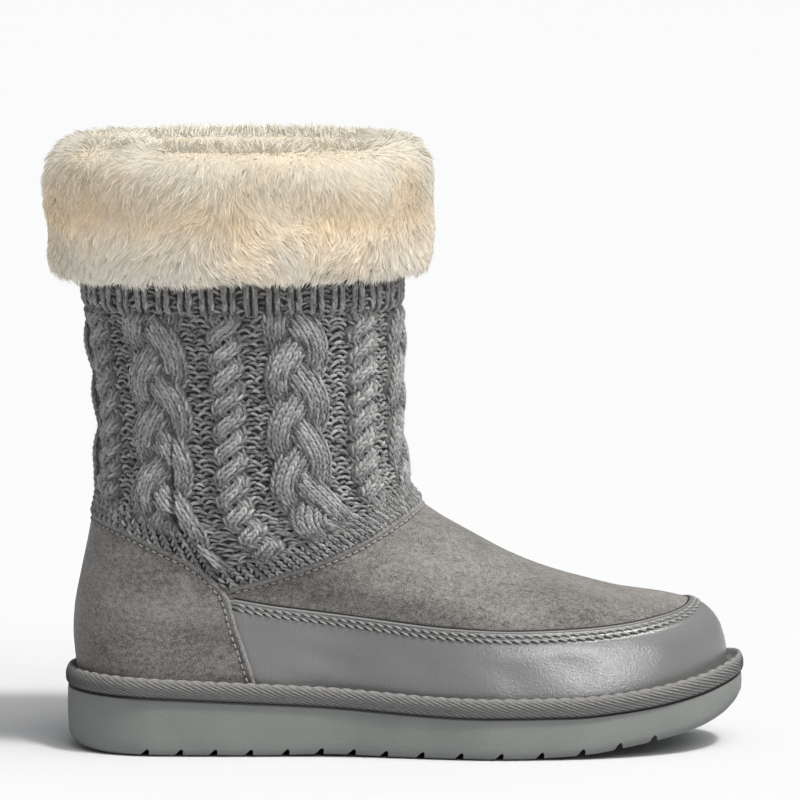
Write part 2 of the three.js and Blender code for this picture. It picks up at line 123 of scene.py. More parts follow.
def smooth(xs, ys, at):
    """A cubic through the points (xs, ys) that never overshoots them."""
    at = np.clip(at, xs[0], xs[-1])
    rises = [(ys[i + 1] - ys[i]) / (xs[i + 1] - xs[i]) for i in range(len(xs) - 1)]
    slopes = [rises[0]]
    for a, b in zip(rises, rises[1:]):
        same = a * b > 0
        slopes.append(np.where(same, 2 * a * b / np.where(same, a + b, 1), 0))
    slopes.append(rises[-1])
    value = 0 * (at + ys[0])
    for i in range(len(xs) - 1):
        width = xs[i + 1] - xs[i]
        s = (at - xs[i]) / width
        part = ys[i] * (1 + 2 * s) * (1 - s) ** 2 + ys[i + 1] * s * s * (3 - 2 * s)
        part = part + width * (slopes[i] * s * (1 - s) ** 2 + slopes[i + 1] * s * s * (s - 1))
        value = np.where((at >= xs[i]) & (at <= xs[i + 1]), part, value)
    return value


def sampled(xs, ys, count=3200):
    fine = np.linspace(xs[0], xs[-1], count + 1)
    values = smooth(xs, ys, fine)
    return lambda at: np.interp(at, fine, values)


sole_top = sampled(SOLE_TOP["x"], SOLE_TOP["z"])
sole_bottom = sampled(SOLE_BOTTOM["x"], SOLE_BOTTOM["z"])
last_curve = sampled(LAST_CURVE["along"], LAST_CURVE["y"])
counter_edge = sampled(COUNTER_EDGE["x"], COUNTER_EDGE["z"])
topline = sampled(TOPLINE["x"], TOPLINE["z"])
guard_edge = sampled(GUARD_EDGE["x"], GUARD_EDGE["z"])
COLUMNS = {name: sampled(range(TOP_LEVEL + 1), values) for name, values in LAST.items()}


def mix(a, b, s):
    return a + (b - a) * s


def ease(low, high, at):
    """0 below low, 1 above high and smooth between."""
    s = np.clip((at - low) / (high - low), 0, 1)
    return s * s * (3 - 2 * s)


def ridge(at, middle, width):
    """1 at the middle and falling off to both sides."""
    return np.exp(-(((at - middle) / width) ** 2))


def last_ring(level):
    return {name: column(level) for name, column in COLUMNS.items()}


def end_share(distance, rounding):
    s = np.clip(distance / rounding, 0, 1)
    return (1 - (1 - s) ** SQUARENESS) ** (1 / SQUARENESS)


def ring_xy(ring, angle):
    length = ring["frontX"] - ring["backX"]
    along = (1 - np.cos(angle)) / 2
    stations = (0, WIDEST["heel"], WIDEST["waist"], WIDEST["ball"], 1)
    halves = (ring["heel"], ring["heel"], ring["waist"], ring["ball"], ring["ball"])
    half = smooth(stations, halves, along)
    half = half * end_share(along * length, ring["heelRound"])
    half = half * end_share((1 - along) * length, ring["noseRound"])
    side = np.where(np.sin(angle) >= 0, -1, 1)
    return along, ring["backX"] + along * length, ring["curve"] * last_curve(along) + side * half


def on_last(level, angle):
    """The points of the last at those levels and angles."""
    ring = last_ring(level)
    along, x, y = ring_xy(ring, angle)
    camber = sole_top(x) - mix(sole_top(ring["backX"]), sole_top(ring["frontX"]), along)
    z = mix(ring["backZ"], ring["frontZ"], along) + ring["follow"] * camber
    return np.stack(np.broadcast_arrays(x, y, z), -1)


def unit(v):
    return v / np.maximum(np.linalg.norm(v, axis=-1, keepdims=True), 1e-9)


def slopes_at(level, angle):
    """How a point moves with its level and with its angle."""
    step = 0.01
    low = np.clip(level - step, 0, TOP_LEVEL)
    high = np.clip(level + step, 0, TOP_LEVEL)
    by_level = (on_last(high, angle) - on_last(low, angle)) / (high - low)[..., None]
    by_angle = (on_last(level, angle + step) - on_last(level, angle - step)) / (2 * step)
    return by_level, by_angle


def normal_at(level, angle):
    by_level, by_angle = slopes_at(level, angle)
    return unit(np.cross(by_angle, by_level))


def off_last(level, angle, height):
    """Points that far out from the last."""
    level, angle = np.broadcast_arrays(level, angle)
    return on_last(level, angle) + normal_at(level, angle) * np.asarray(height)[..., None]


def leg_ring(z, outset):
    """A level ring of the leg, moved out by that much and leaning back a little with it."""
    fine = np.linspace(LEG_LEVEL, TOP_LEVEL, 400)
    ring = last_ring(np.interp(z, COLUMNS["backZ"](fine), fine))
    lean = CUFF_LEAN["share"] * np.maximum(0, outset - CUFF_LEAN["from"])
    moved = dict(ring)
    moved["backX"] = ring["backX"] - outset - lean
    moved["frontX"] = ring["frontX"] + outset - lean
    for name in ("heel", "waist", "ball", "heelRound", "noseRound"):
        moved[name] = ring[name] + outset
    return moved


def outline_ring(outset, ends=None):
    """The outline of the sole with its sides moved out by outset and its ends by ends."""
    ends = outset if ends is None else ends
    ring = dict(OUTLINE)
    ring["backX"] = OUTLINE["backX"] - ends
    ring["frontX"] = OUTLINE["frontX"] + ends
    for name in ("heel", "waist", "ball"):
        ring[name] = OUTLINE[name] + outset
    return ring


def level_loop(ring, angles, height):
    """Points round a level ring, at the height that a function of x gives."""
    _, x, y = ring_xy(ring, angles)
    return np.stack([x, y, height(x) + 0 * x], -1)


# ---- Places given in side view ----


def between(low, high, too_high):
    """The level between low and high above which too_high is true of a level."""
    for _ in range(HALVINGS):
        middle = (low + high) / 2
        above = too_high(middle)
        low, high = np.where(above, low, middle), np.where(above, middle, high)
    return (low + high) / 2


def find_place(x, z, outer=True):
    """The level and angle of the place with that x and z, on the outer or the inner side."""
    steps, foot = 1600, 60  # the last draws in again below step foot
    fine = np.linspace(0, TOP_LEVEL, steps + 1)
    reach = (COLUMNS["backX"](fine) <= x[:, None]) & (COLUMNS["frontX"](fine) >= x[:, None])
    reach[:, :foot] |= reach[:, foot : foot + 1]
    high = fine[np.where(reach.all(1), steps, np.argmin(reach, 1) - 1).clip(0)]

    def angle_at(level):
        back, front = COLUMNS["backX"](level), COLUMNS["frontX"](level)
        turn = np.arccos(np.clip(1 - 2 * (x - back) / (front - back), -1, 1))
        return turn if outer else -turn

    level = between(0 * high, high, lambda a: on_last(a, angle_at(a))[:, 2] > z)
    return level, angle_at(level)


def crossing(seam, angle):
    """The level at which the line of the last at an angle crosses a seam."""

    def above(level):
        p = on_last(level, angle)
        return p[..., 2] > seam(p[..., 0])

    low = np.zeros(np.shape(angle))
    return between(low, low + SEAM_TOP_LEVEL, above)


def seam_path(seam, far, across):
    """Evenly spaced levels and angles along a seam that runs round the boot. across is the angle,
    0 or pi, at which it crosses the middle, and far is its x at both of its ends."""
    middle = np.array([across], float)
    middle_level = crossing(seam, middle)
    near = on_last(middle_level, middle)[0, 0]
    x = near + (far - near) * np.linspace(1, 0.04, 240) ** 2
    level, angle = find_place(x, seam(x), True)
    inner_level, inner_angle = find_place(x, seam(x), False)
    level = np.concatenate([level, middle_level, inner_level[::-1]])
    angle = np.concatenate([angle, middle, inner_angle[::-1] + 2 * across])
    return even_path(level, angle, SEAM_STEP)


def even_path(level, angle, spacing):
    """The same path with evenly spaced points."""
    points = on_last(level, angle)
    walked = np.concatenate([[0], np.cumsum(np.linalg.norm(np.diff(points, axis=0), axis=1))])
    stops = np.linspace(0, walked[-1], max(2, round(walked[-1] / spacing)) + 1)
    return np.interp(stops, walked, level), np.interp(stops, walked, angle)


def path_frame(level, angle, inward):
    """Points, normals, forward and sideways directions along a path. Sideways points the way of
    inward at the start of the path."""
    points, normals = on_last(level, angle), normal_at(level, angle)
    forward = unit(np.gradient(points, axis=0))
    sideways = unit(np.cross(normals, forward))
    if sideways[len(points) // 5] @ np.array(inward, float) < 0:
        sideways = -sideways
    return points, normals, forward, sideways


def shift_path(level, angle, inward, distance):
    """The path moved sideways along the surface, by any distance for each of its points."""
    _, _, _, sideways = path_frame(level, angle, inward)
    for _ in range(3):
        by_level, by_angle = slopes_at(level, angle)
        ll = (by_level * by_level).sum(-1)
        la = (by_level * by_angle).sum(-1)
        aa = (by_angle * by_angle).sum(-1)
        wanted = sideways * (np.asarray(distance) / 3)[..., None]
        wl = (wanted * by_level).sum(-1)
        wa = (wanted * by_angle).sum(-1)
        det = ll * aa - la * la
        level = np.clip(level + (wl * aa - wa * la) / det, 0, TOP_LEVEL)
        angle = angle + (wa * ll - wl * la) / det
    return level, angle


# ---- Meshes ----


def put_in_scene(name, data):
    """A new object that shows that data."""
    thing = bpy.data.objects.new(name, data)
    bpy.context.scene.collection.objects.link(thing)
    return thing


def add_mesh(name, points, faces, material, node=None, tone=None):
    """A mesh object from points in mm. node is the CAD node whose place it takes, and tone a value
    for each point that its material can read."""
    points = np.asarray(points, float).reshape(-1, 3) + (BACK_OF_SOLE, 0, 0)
    faces = np.asarray(faces, np.int32)
    mesh = bpy.data.meshes.new(name)
    mesh.vertices.add(len(points))
    mesh.vertices.foreach_set("co", (points / 1000).ravel())
    mesh.loops.add(faces.size)
    mesh.loops.foreach_set("vertex_index", faces.ravel())
    mesh.polygons.add(len(faces))
    mesh.polygons.foreach_set("loop_start", np.arange(len(faces)) * faces.shape[1])
    mesh.polygons.foreach_set("use_smooth", np.full(len(faces), True))
    if tone is not None:
        values = mesh.attributes.new("tone", "FLOAT", "POINT")
        values.data.foreach_set("value", np.ravel(tone).astype(np.float32))
    mesh.update(calc_edges=True)
    mesh.validate()
    mesh.materials.append(material)
    piece = put_in_scene(name, mesh)
    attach(piece, "root")
    if node:
        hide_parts(node)
    return piece


def grid_faces(rows, columns, wrap=False):
    """Quads of a grid of points, whose last column may join its first."""
    r = np.arange(rows - 1)[:, None]
    c = np.arange(columns if wrap else columns - 1)[None, :]
    after = (c + 1) % columns
    corners = (r * columns + c, r * columns + after, (r + 1) * columns + after)
    return np.stack([*corners, (r + 1) * columns + c], -1).reshape(-1, 4)


def lathe(loops):
    """Points and quads of a ring-shaped solid through loops of equal length."""
    faces = grid_faces(len(loops) + 1, len(loops[0]), True)
    return np.concatenate(loops), faces % (len(loops) * len(loops[0]))


def capped(loops):
    """Points and triangles through loops of equal length, closed at both ends by strips that run
    from one side of the boot to the other."""
    around = len(loops[0])
    quads = grid_faces(len(loops), around, True)
    faces = [quads[:, [0, 1, 2]], quads[:, [0, 2, 3]]]
    j = np.arange(0, around // 2)
    strip = np.stack([j, (around - j) % around, (around - j - 1) % around, j + 1], -1)
    cap = np.concatenate([strip[1:, [0, 1, 2]], strip[:-1, [0, 2, 3]]])
    faces += [cap, cap[:, ::-1] + (len(loops) - 1) * around]
    return np.concatenate(loops), np.concatenate(faces)


def sweep(name, path, inward, profile, material, closed=True):
    """A strip along a path. profile lists (sideways, height) in mm, or gives them for each point
    of the path."""
    level, angle = path
    rows = []
    for sideways, height in profile:
        shifted = shift_path(level, angle, inward, sideways + 0 * level)
        rows.append(off_last(*shifted, height + 0 * level))
    if closed:
        rows.append(rows[0])
    points = np.stack(rows, 1)
    add_mesh(name, points, grid_faces(*points.shape[:2]), material)


def tubes(name, centres, ups, radii, material, facets, arc, tone=None, edge=0.0):
    """Many short tubes at once. centres and ups are (tube, station, xyz), radii (tube, station).
    A tube shows the side of it that faces up, over that arc. edge is how much lower tone is along its
    sides than along its middle, and lower again at its ends: painted shade where yarn meets yarn."""
    count, stations = centres.shape[:2]
    along = unit(np.gradient(centres, axis=1))
    across = unit(np.cross(along, ups))
    up = np.cross(across, along)
    turn = np.linspace(-arc / 2, arc / 2, facets + 1)
    ring = (
        across[:, :, None] * np.sin(turn)[:, None]
        + up[:, :, None] * np.cos(turn)[:, None]
    )
    points = centres[:, :, None] + ring * radii[:, :, None, None]
    per_tube = stations * len(turn)
    one = grid_faces(stations, len(turn))
    faces = (one[None] + np.arange(count)[:, None, None] * per_tube).reshape(-1, 4)
    if tone is not None:
        # painted shade: a lower tone along the tube's sides and at its ends
        rim = edge * np.abs(turn / turn[0]) + 0 * np.arange(stations)[:, None]
        rim[[0, -1]] += edge
        tone = np.clip(np.ravel(tone)[:, None, None] - rim, 0, 1)
    add_mesh(name, points, faces, material, tone=tone)


def ribbons(name, centres, facing, width, material, tone, soft=None):
    """Thin tapering ribbons. centres and facing are (ribbon, station, xyz), tone (ribbon, station),
    and soft a normal for each ribbon that shades it like the surface it lies on."""
    count, stations = centres.shape[:2]
    last = stations - 1
    along = unit(np.gradient(centres, axis=1))
    across = unit(np.cross(along, facing))
    narrower = np.linspace(1.0, 0.7, last)
    side = across[:, :last] * (np.ravel(width)[:, None] * narrower / 2)[..., None]
    pairs = np.stack([centres[:, :last] - side, centres[:, :last] + side], 2)
    points = np.concatenate([pairs.reshape(count, 2 * last, 3), centres[:, last:]], 1)
    between_pairs = np.array([(0, 1, 3), (0, 3, 2)])
    at_tip = np.array([(0, 1, 2)])
    one = np.concatenate([between_pairs + 2 * k for k in range(last - 1)] + [at_tip + 2 * last - 2])
    size = 2 * last + 1
    faces = (one[None] + np.arange(count)[:, None, None] * size).reshape(-1, 3)
    tones = np.concatenate([np.repeat(tone[:, :last], 2, axis=1), tone[:, last:]], 1)
    piece = add_mesh(name, points, faces, material, tone=np.clip(tones, 0, 1))
    if soft is not None:
        piece.data.normals_split_custom_set_from_vertices(np.repeat(soft, size, 0))
    return piece


# ---- Materials ----


class Look:
    """A procedural material, built up a node at a time. Texture sizes are in mm."""

    def __init__(self, name, roughness, slot_colour, **inputs):
        """inputs are the shader's other numbers, their names with _ for each space."""
        self.material = bpy.data.materials.new(name)
        self.material.use_nodes = True
        self.material.diffuse_color = (*slot_colour, 1)
        self.nodes = self.material.node_tree.nodes
        self.links = self.material.node_tree.links
        self.shader = self.nodes["Principled BSDF"]
        self.shader.inputs["Roughness"].default_value = roughness
        for label, value in inputs.items():
            self.shader.inputs[label.replace("_", " ")].default_value = value
        self.place = self.nodes.new("ShaderNodeTexCoord").outputs["Object"]
        self.normal = None

    def stretched(self, x, y, z):
        mapping = self.nodes.new("ShaderNodeMapping")
        mapping.inputs["Scale"].default_value = (x, y, z)
        self.links.new(self.place, mapping.inputs["Vector"])
        return mapping.outputs["Vector"]

    def noise(self, size, detail=3, rough=0.55, vector=None):
        node = self.nodes.new("ShaderNodeTexNoise")
        node.inputs["Scale"].default_value = 1000 / size
        node.inputs["Detail"].default_value = detail
        node.inputs["Roughness"].default_value = rough
        self.links.new(vector or self.place, node.inputs["Vector"])
        return node.outputs["Fac"]

    def tone(self):
        """The values that add_mesh stores with the points."""
        node = self.nodes.new("ShaderNodeAttribute")
        node.attribute_name = "tone"
        return node.outputs["Fac"]

    def maths(self, operation, a, b=0.0, c=0.0):
        node = self.nodes.new("ShaderNodeMath")
        node.operation = operation
        for slot, value in zip(node.inputs, (a, b, c)):
            if isinstance(value, (int, float)):
                slot.default_value = value
            else:
                self.links.new(value, slot)
        return node.outputs["Value"]

    def weighted(self, first, first_share, second, second_share):
        """The sum of those shares of two values."""
        rest = self.maths("MULTIPLY", second, second_share)
        return self.maths("MULTIPLY_ADD", first, first_share, rest)

    def ramp(self, factor, stops):
        node = self.nodes.new("ShaderNodeValToRGB")
        ramp = node.color_ramp
        while len(ramp.elements) < len(stops):
            ramp.elements.new(0.5)
        for element, (at, colour) in zip(ramp.elements, stops):
            element.position = at
            element.color = (*colour, 1)
        self.links.new(factor, node.inputs["Fac"])
        return node.outputs["Color"]

    def blend(self, factor, a, b):
        """A mix of two colours. A Mix node has its colours at sockets 6 and 7, and 2 on its right."""
        node = self.nodes.new("ShaderNodeMix")
        node.data_type = "RGBA"
        for slot, value in ((0, factor), (6, a), (7, b)):
            self.links.new(value, node.inputs[slot])
        return node.outputs[2]

    def colour(self, colour):
        if isinstance(colour, tuple):
            self.shader.inputs["Base Color"].default_value = (*colour, 1)
        else:
            self.links.new(colour, self.shader.inputs["Base Color"])
        return self

    def bump(self, height, strength, depth):
        """Adds relief of that depth in mm to what is there already."""
        node = self.nodes.new("ShaderNodeBump")
        node.inputs["Strength"].default_value = strength
        node.inputs["Distance"].default_value = depth / 1000
        self.links.new(height, node.inputs["Height"])
        if self.normal:
            self.links.new(self.normal, node.inputs["Normal"])
        self.normal = node.outputs["Normal"]
        self.links.new(self.normal, self.shader.inputs["Normal"])
        return self


def grey(value, warm=0.0):
    """A grey, warmer or cooler by that share."""
    return (value * (1 + warm), value, value * (1 - warm))


def suede_look(name, light, dark):
    look = Look(
        name, 0.92, light, Sheen_Weight=0.25, Sheen_Roughness=0.5, Specular_IOR_Level=0.2
    )
    clouds = look.noise(30, 3, 0.55, look.stretched(0.6, 1, 1.3))
    nap = look.noise(1.9, 3, 0.7, look.stretched(0.8, 1, 1.2))
    fine = look.noise(0.62, 2, 0.8)
    shade = look.weighted(nap, 0.42, clouds, 0.32)
    shade = look.maths("MULTIPLY_ADD", fine, 0.6, shade)
    look.colour(look.ramp(shade, ((0.52, dark), (0.82, light))))
    look.bump(nap, 0.3, 0.4).bump(fine, 0.7, 0.25)
    return look.material


def leather_look(name, roughness):
    look = Look(name, roughness, grey(0.2), Specular_IOR_Level=1.0)
    clouds = look.noise(40, 2)
    look.colour(look.ramp(clouds, ((0.3, grey(0.12, -0.01)), (0.7, grey(0.142, -0.005)))))
    grain = look.noise(0.9, 3, 0.7)
    wrinkle = look.noise(5, 3, 0.6)
    look.bump(grain, 0.45, 0.4).bump(wrinkle, 0.15, 0.3)
    return look.material


def rubber_look():
    look = Look("moulded_rubber", 0.72, grey(0.21), Specular_IOR_Level=0.3)
    speck = look.noise(0.7, 2, 0.8)
    clouds = look.noise(30, 2)
    shade = look.weighted(speck, 0.5, clouds, 0.5)
    look.colour(look.ramp(shade, ((0.35, (0.15, 0.159, 0.153)), (0.65, (0.192, 0.2, 0.193)))))
    look.bump(speck, 0.35, 0.12)
    return look.material


def cord_look():
    look = Look("corded_tape", 0.85, grey(0.25), Specular_IOR_Level=0.2)
    speck = look.noise(0.7, 3, 0.7)
    shade = look.weighted(speck, 0.45, look.tone(), 0.75)
    stops = ((0.3, grey(0.05, 0.02)), (0.62, grey(0.17, 0.015)), (0.95, grey(0.29, 0.01)))
    look.colour(look.ramp(shade, stops))
    look.bump(speck, 0.4, 0.25)
    return look.material


def plain_look(name, colour, roughness, size, strength):
    """One colour with specks of that size and a bump of that strength."""
    look = Look(name, roughness, colour, Specular_IOR_Level=0.25)
    speck = look.noise(size, 3, 0.7)
    darker = tuple(c * 0.82 for c in colour)
    look.colour(look.ramp(speck, ((0.3, darker), (0.7, colour))))
    look.bump(speck, strength, 0.3)
    return look.material


SUEDE = suede_look("napped_suede", grey(0.222, 0.055), grey(0.042, 0.06))
SUEDE_EDGE = suede_look("suede_edge", grey(0.27, 0.03), grey(0.1, 0.035))
LEATHER = leather_look("smooth_leather", 0.3)
LEATHER_EDGE = leather_look("leather_edge", 0.6)
RUBBER = rubber_look()
WELT = cord_look()
THREAD = plain_look("thread", grey(0.28, 0.03), 0.85, 0.3, 0.3)
# near-black: painted shade in the grooves of the stitches and in the crevice above the guard's fold
GROOVE_SHADE = plain_look("stitch_line", grey(0.035, 0.04), 0.9, 0.5, 0.2)
FELT = plain_look("felt", (0.62, 0.55, 0.45), 1.0, 1.2, 0.6)
LINING = plain_look("pile_lining", (0.66, 0.58, 0.47), 1.0, 2.2, 1.0)


# ---- Sole, welt and insole ----
AROUND = 520
ANGLES = np.arange(AROUND) * 2 * math.pi / AROUND


def make_outsole():
    """The unit sole with the grooves of its tread cut right across."""

    def wall(share):
        return lambda x: mix(sole_bottom(x), sole_top(x), share)

    # each loop by how far its sides (o) and ends (e) are in or out, and by its height
    inner = [level_loop(outline_ring(-o, -o), ANGLES, sole_bottom) for o in (30, 20, 10, 6)]
    rim = [
        level_loop(outline_ring(-o, -e), ANGLES, lambda x, u=up: sole_bottom(x) + u)
        for o, e, up in (
            (4.2, 3.6, 0), (3, 2.3, 0.25), (2, 1.2, 0.85), (1.4, 0.4, 1.8), (1.1, -0.1, 3)
        )
    ]
    sides = [
        level_loop(outline_ring(o, e), ANGLES, wall(share))
        for o, e, share in ((-0.9, 0.3, 0.3), (-0.85, 0.5, 0.55), (-0.8, 0.5, 0.8), (-0.9, 0.3, 0.97))
    ]
    top = [level_loop(outline_ring(-o, -o), ANGLES, sole_top) for o in (1.5, 12, 26)]
    points, faces = capped(inner + rim + sides + top)
    sole = add_mesh("outsole_rubber", points, faces, RUBBER, "outsole")
    cut_points, cut_faces = [], []
    for x in GROOVE_X:
        slope = float(sole_bottom(x + 2) - sole_bottom(x - 2)) / 4
        bottom = float(sole_bottom(x))
        deep = GROOVE["depth"]
        run = GROOVE["run"]
        shape = (
            (0, -GROOVE["below"]), (0.25, deep * 0.8), (-0.3, deep), (-GROOVE["top"], deep * 0.95),
            (-run * 0.72, deep * 0.3), (-run, -0.4), (-run, -GROOVE["below"]),
        )
        ring = [(x + dx - slope * up, bottom + slope * dx + up) for dx, up in shape]
        start = len(cut_points)
        cut_points += [(a, y, b) for y in (-GROOVE["reach"], GROOVE["reach"]) for a, b in ring]
        n = len(ring)
        cut_faces.append([start + k for k in range(n)])
        cut_faces.append([start + n + k for k in reversed(range(n))])
        for k in range(n):
            after = (k + 1) % n
            cut_faces.append([start + k, start + n + k, start + n + after, start + after])
    mesh = bpy.data.meshes.new("grooves")
    placed = [((a + BACK_OF_SOLE) / 1000, y / 1000, b / 1000) for a, y, b in cut_points]
    mesh.from_pydata(placed, [], cut_faces)
    mesh.update()
    cutter = put_in_scene("grooves", mesh)
    cut = sole.modifiers.new("grooves", "BOOLEAN")
    cut.operation = "DIFFERENCE"
    cut.solver = "EXACT"
    cut.object = cutter
    bpy.context.view_layer.update()
    evaluated = sole.evaluated_get(bpy.context.evaluated_depsgraph_get())
    ready = bpy.data.meshes.new_from_object(evaluated)
    sole.modifiers.remove(cut)
    sole.data = ready
    ready.set_sharp_from_angle(angle=math.radians(32))
    bpy.data.objects.remove(cutter)


def make_welt():
    """The corded band between upper and sole: slanting cords below and a scalloped edge above."""
    count = 1900
    angles = np.arange(count) * 2 * math.pi / count
    base = level_loop(outline_ring(0), angles, sole_top)
    step = np.linalg.norm(np.roll(base, -1, 0) - base, axis=1)
    total = step.sum()
    walked = np.concatenate([[0], np.cumsum(step)])[:-1]

    def turn_at(distance):
        ends = np.append(walked, total), np.append(angles, 2 * math.pi)
        return np.interp(distance, *ends)

    stops = np.arange(count) * total / count  # evenly spaced round the sole
    # the section, from its foot up its face, over its lip and down behind it to the upper
    section = (
        (-0.7, 0.05), (0.3, 0.5), (0.75, 1.4), (0.95, 2.6), (1.0, 3.9), (0.9, 5.1), (0.7, 6.2),
        (0.35, 7.0), (-0.1, 7.5), (-0.8, 7.7), (-1.4, 7.2), (-2.2, 6.1), (-4.2, 5.8),
    )
    rows, tones = [], []
    cords = round(total / WELT_CORD["pitch"])
    bites = round(total / WELT_CORD["scallop"])
    wave = 2 * math.pi * cords * stops / total
    cord = (0.5 + 0.5 * np.cos(wave)) ** 0.6
    for out, up in section:
        # the columns of the mesh slant with the cords
        slanted = (stops - WELT_CORD["slant"] * up) % total
        _, x, y = ring_xy(outline_ring(out), turn_at(slanted))
        z = sole_top(x) + GAP + up
        plain = ease(4.6, 6.4, up)  # the cords fade into a plain lip
        low = ease(0.2, 1.0, up) * (1 - 0.85 * plain)
        bite = np.abs(np.sin(math.pi * bites * slanted / total)) ** 0.7
        high = ease(6.4, 7.4, up)
        lift = 0.65 * (cord - 0.5) * low + 0.3 * high * (bite - 0.5)
        # tones: painted shade and highlight, dark in the grooves between the cords and between the
        # bites, light on the cords' crests; lighter too along the plain lip
        tones.append(cord * low * 0.85 + 0.32 * plain + 0.2 * bite * high)
        out_way = unit(np.stack([np.gradient(y), -np.gradient(x), 0 * x], -1))
        rows.append(np.stack([x, y, z], -1) - out_way * lift[:, None])
        rows[-1][:, 2] += high * 0.5 * (bite - 0.3)
    turn = turn_at(stops)
    inner = [off_last(level + 0 * turn, turn, 0.4) for level in (0.6, 0.3)]
    points, faces = lathe(rows + inner)
    # the rows behind the lip take the lowest tone: painted shade in the crevice against the upper
    tones += [0 * stops] * len(inner)
    add_mesh("welt_band", points, faces, WELT, "welt", tone=np.concatenate(tones))


def make_insole():
    """The footbed."""

    def flat(inset, height):
        points = off_last(0 * ANGLES, ANGLES, -WALL - 0.4 - inset)
        points[:, 2] = sole_top(points[:, 0]) + GAP + height
        return points

    loops = [flat(0, 0), flat(0, 3.6), flat(0.5, 4.6), flat(1.4, INSOLE), flat(12, INSOLE + 0.2)]
    points, faces = capped(loops)
    add_mesh("footbed", points, faces, FELT, "insole")


# ---- Foot ----
# how far each row of stitches is from its edge, and the pitch, length and radius of the stitches
COUNTER_STITCHES = 2.7
GUARD_STITCHES = (1.6, 3.5)
VAMP_STITCHES = 3.1
FINE_STITCH = (2.9, 2.1, 0.36)
BOLD_STITCH = (3.7, 3.1, 0.42)


def make_lined_upper():
    """The upper's wall, pile inside and out; its outside is mostly covered by the other pieces. suede
    outside, where most of it is covered, and pile inside.
    """
    levels = np.concatenate([np.linspace(0, 11, 30), np.linspace(11.5, TOP_LEVEL, 12)])
    turn = ANGLES[::4]
    grid_level, grid_turn = np.meshgrid(levels, turn, indexing="ij")
    outer = off_last(grid_level, grid_turn, -0.25 + 0 * grid_level)
    outer[0, :, 2] = sole_top(outer[0, :, 0]) + GAP
    # uneven ripples in the surface of the pile
    ripple = np.sin(grid_turn * 61 + 5 * np.sin(grid_level * 7)) * np.sin(grid_level * 23)
    pile = -WALL + 0.5 * ripple
    inner = off_last(grid_level, grid_turn, pile)
    inner[0, :, 2] = sole_top(inner[0, :, 0]) + GAP
    points, faces = lathe(list(outer) + list(inner[::-1]))
    add_mesh("upper_wall", points, faces, LINING, "upper")


def seam_distance(points, seam, x_from, x_to):
    """Distance of each point from a seam, in side view."""
    x = np.linspace(x_from, x_to, 160)
    z = seam(x)
    flat = np.ravel(points[..., 0]), np.ravel(points[..., 2])
    best = np.full(len(flat[0]), np.inf)
    for a, b, c, d in zip(x, z, x[1:], z[1:]):
        length = (c - a) ** 2 + (d - b) ** 2
        s = np.clip(((flat[0] - a) * (c - a) + (flat[1] - b) * (d - b)) / length, 0, 1)
        gap = (flat[0] - a - s * (c - a)) ** 2 + (flat[1] - b - s * (d - b)) ** 2
        best = np.minimum(best, gap)
    return np.sqrt(best).reshape(points.shape[:-1])


def panel(name, low, high, angles, height, material, rows, node=None):
    """A piece of the upper's surface between two levels, which may change with the angle. Its rows
    are closer together near the high one, and height gives how far out its points are."""
    share = 1 - (1 - np.linspace(0, 1, rows)[:, None]) ** 1.8
    level = mix(low[None], high[None], share)
    turn = np.broadcast_to(angles, level.shape)
    points = on_last(level, turn)
    points = points + normal_at(level, turn) * height(points)[..., None]
    add_mesh(name, points, grid_faces(*level.shape), material, node)


def place_angle(x, level):
    """The angle at which a ring of the last passes x on the outer side."""
    ring = last_ring(np.array(level))
    turn = np.arccos(1 - 2 * (x - ring["backX"]) / (ring["frontX"] - ring["backX"]))
    return float(turn)


def around_front(start_x, count):
    """Angles from the outer side round the toe to the inner side."""
    first = place_angle(start_x, 4.0)
    return math.pi + (math.pi - first) * np.linspace(-1, 1, count)


def make_vamp():
    """The suede vamp, from under the guard up to its folded top edge."""
    count, rows = ((290, 70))
    angles = around_front(57, count)
    low = crossing(lambda x: guard_edge(x) - 4, angles)
    high = crossing(topline, angles)
    x_top = on_last(high, angles)[:, 0]
    high = np.where(x_top < 59, crossing(counter_edge, angles), high)
    low = np.minimum(low, high - 0.02)

    def height(points):
        x, z = points[..., 0], points[..., 2]
        away = seam_distance(points, topline, 58, 150)
        fold = 0.55 * ridge(away, 1.6, 1.5) - 0.5 * ease(0.9, 0.0, away)
        groove = 0.25 * ridge(away, VAMP_STITCHES, 0.5)
        soft = 0.35 * np.sin(x * 0.115 + 0.6) * np.sin(z * 0.16 + x * 0.03 + 1.1)
        soft = soft * ease(6, 16, away)
        under = ease(guard_edge(x) + 1.0, guard_edge(x) - 1.0, z)
        return 0.75 + fold - groove + soft - 0.4 * under

    panel("suede_vamp", low, high, angles, height, SUEDE, rows)


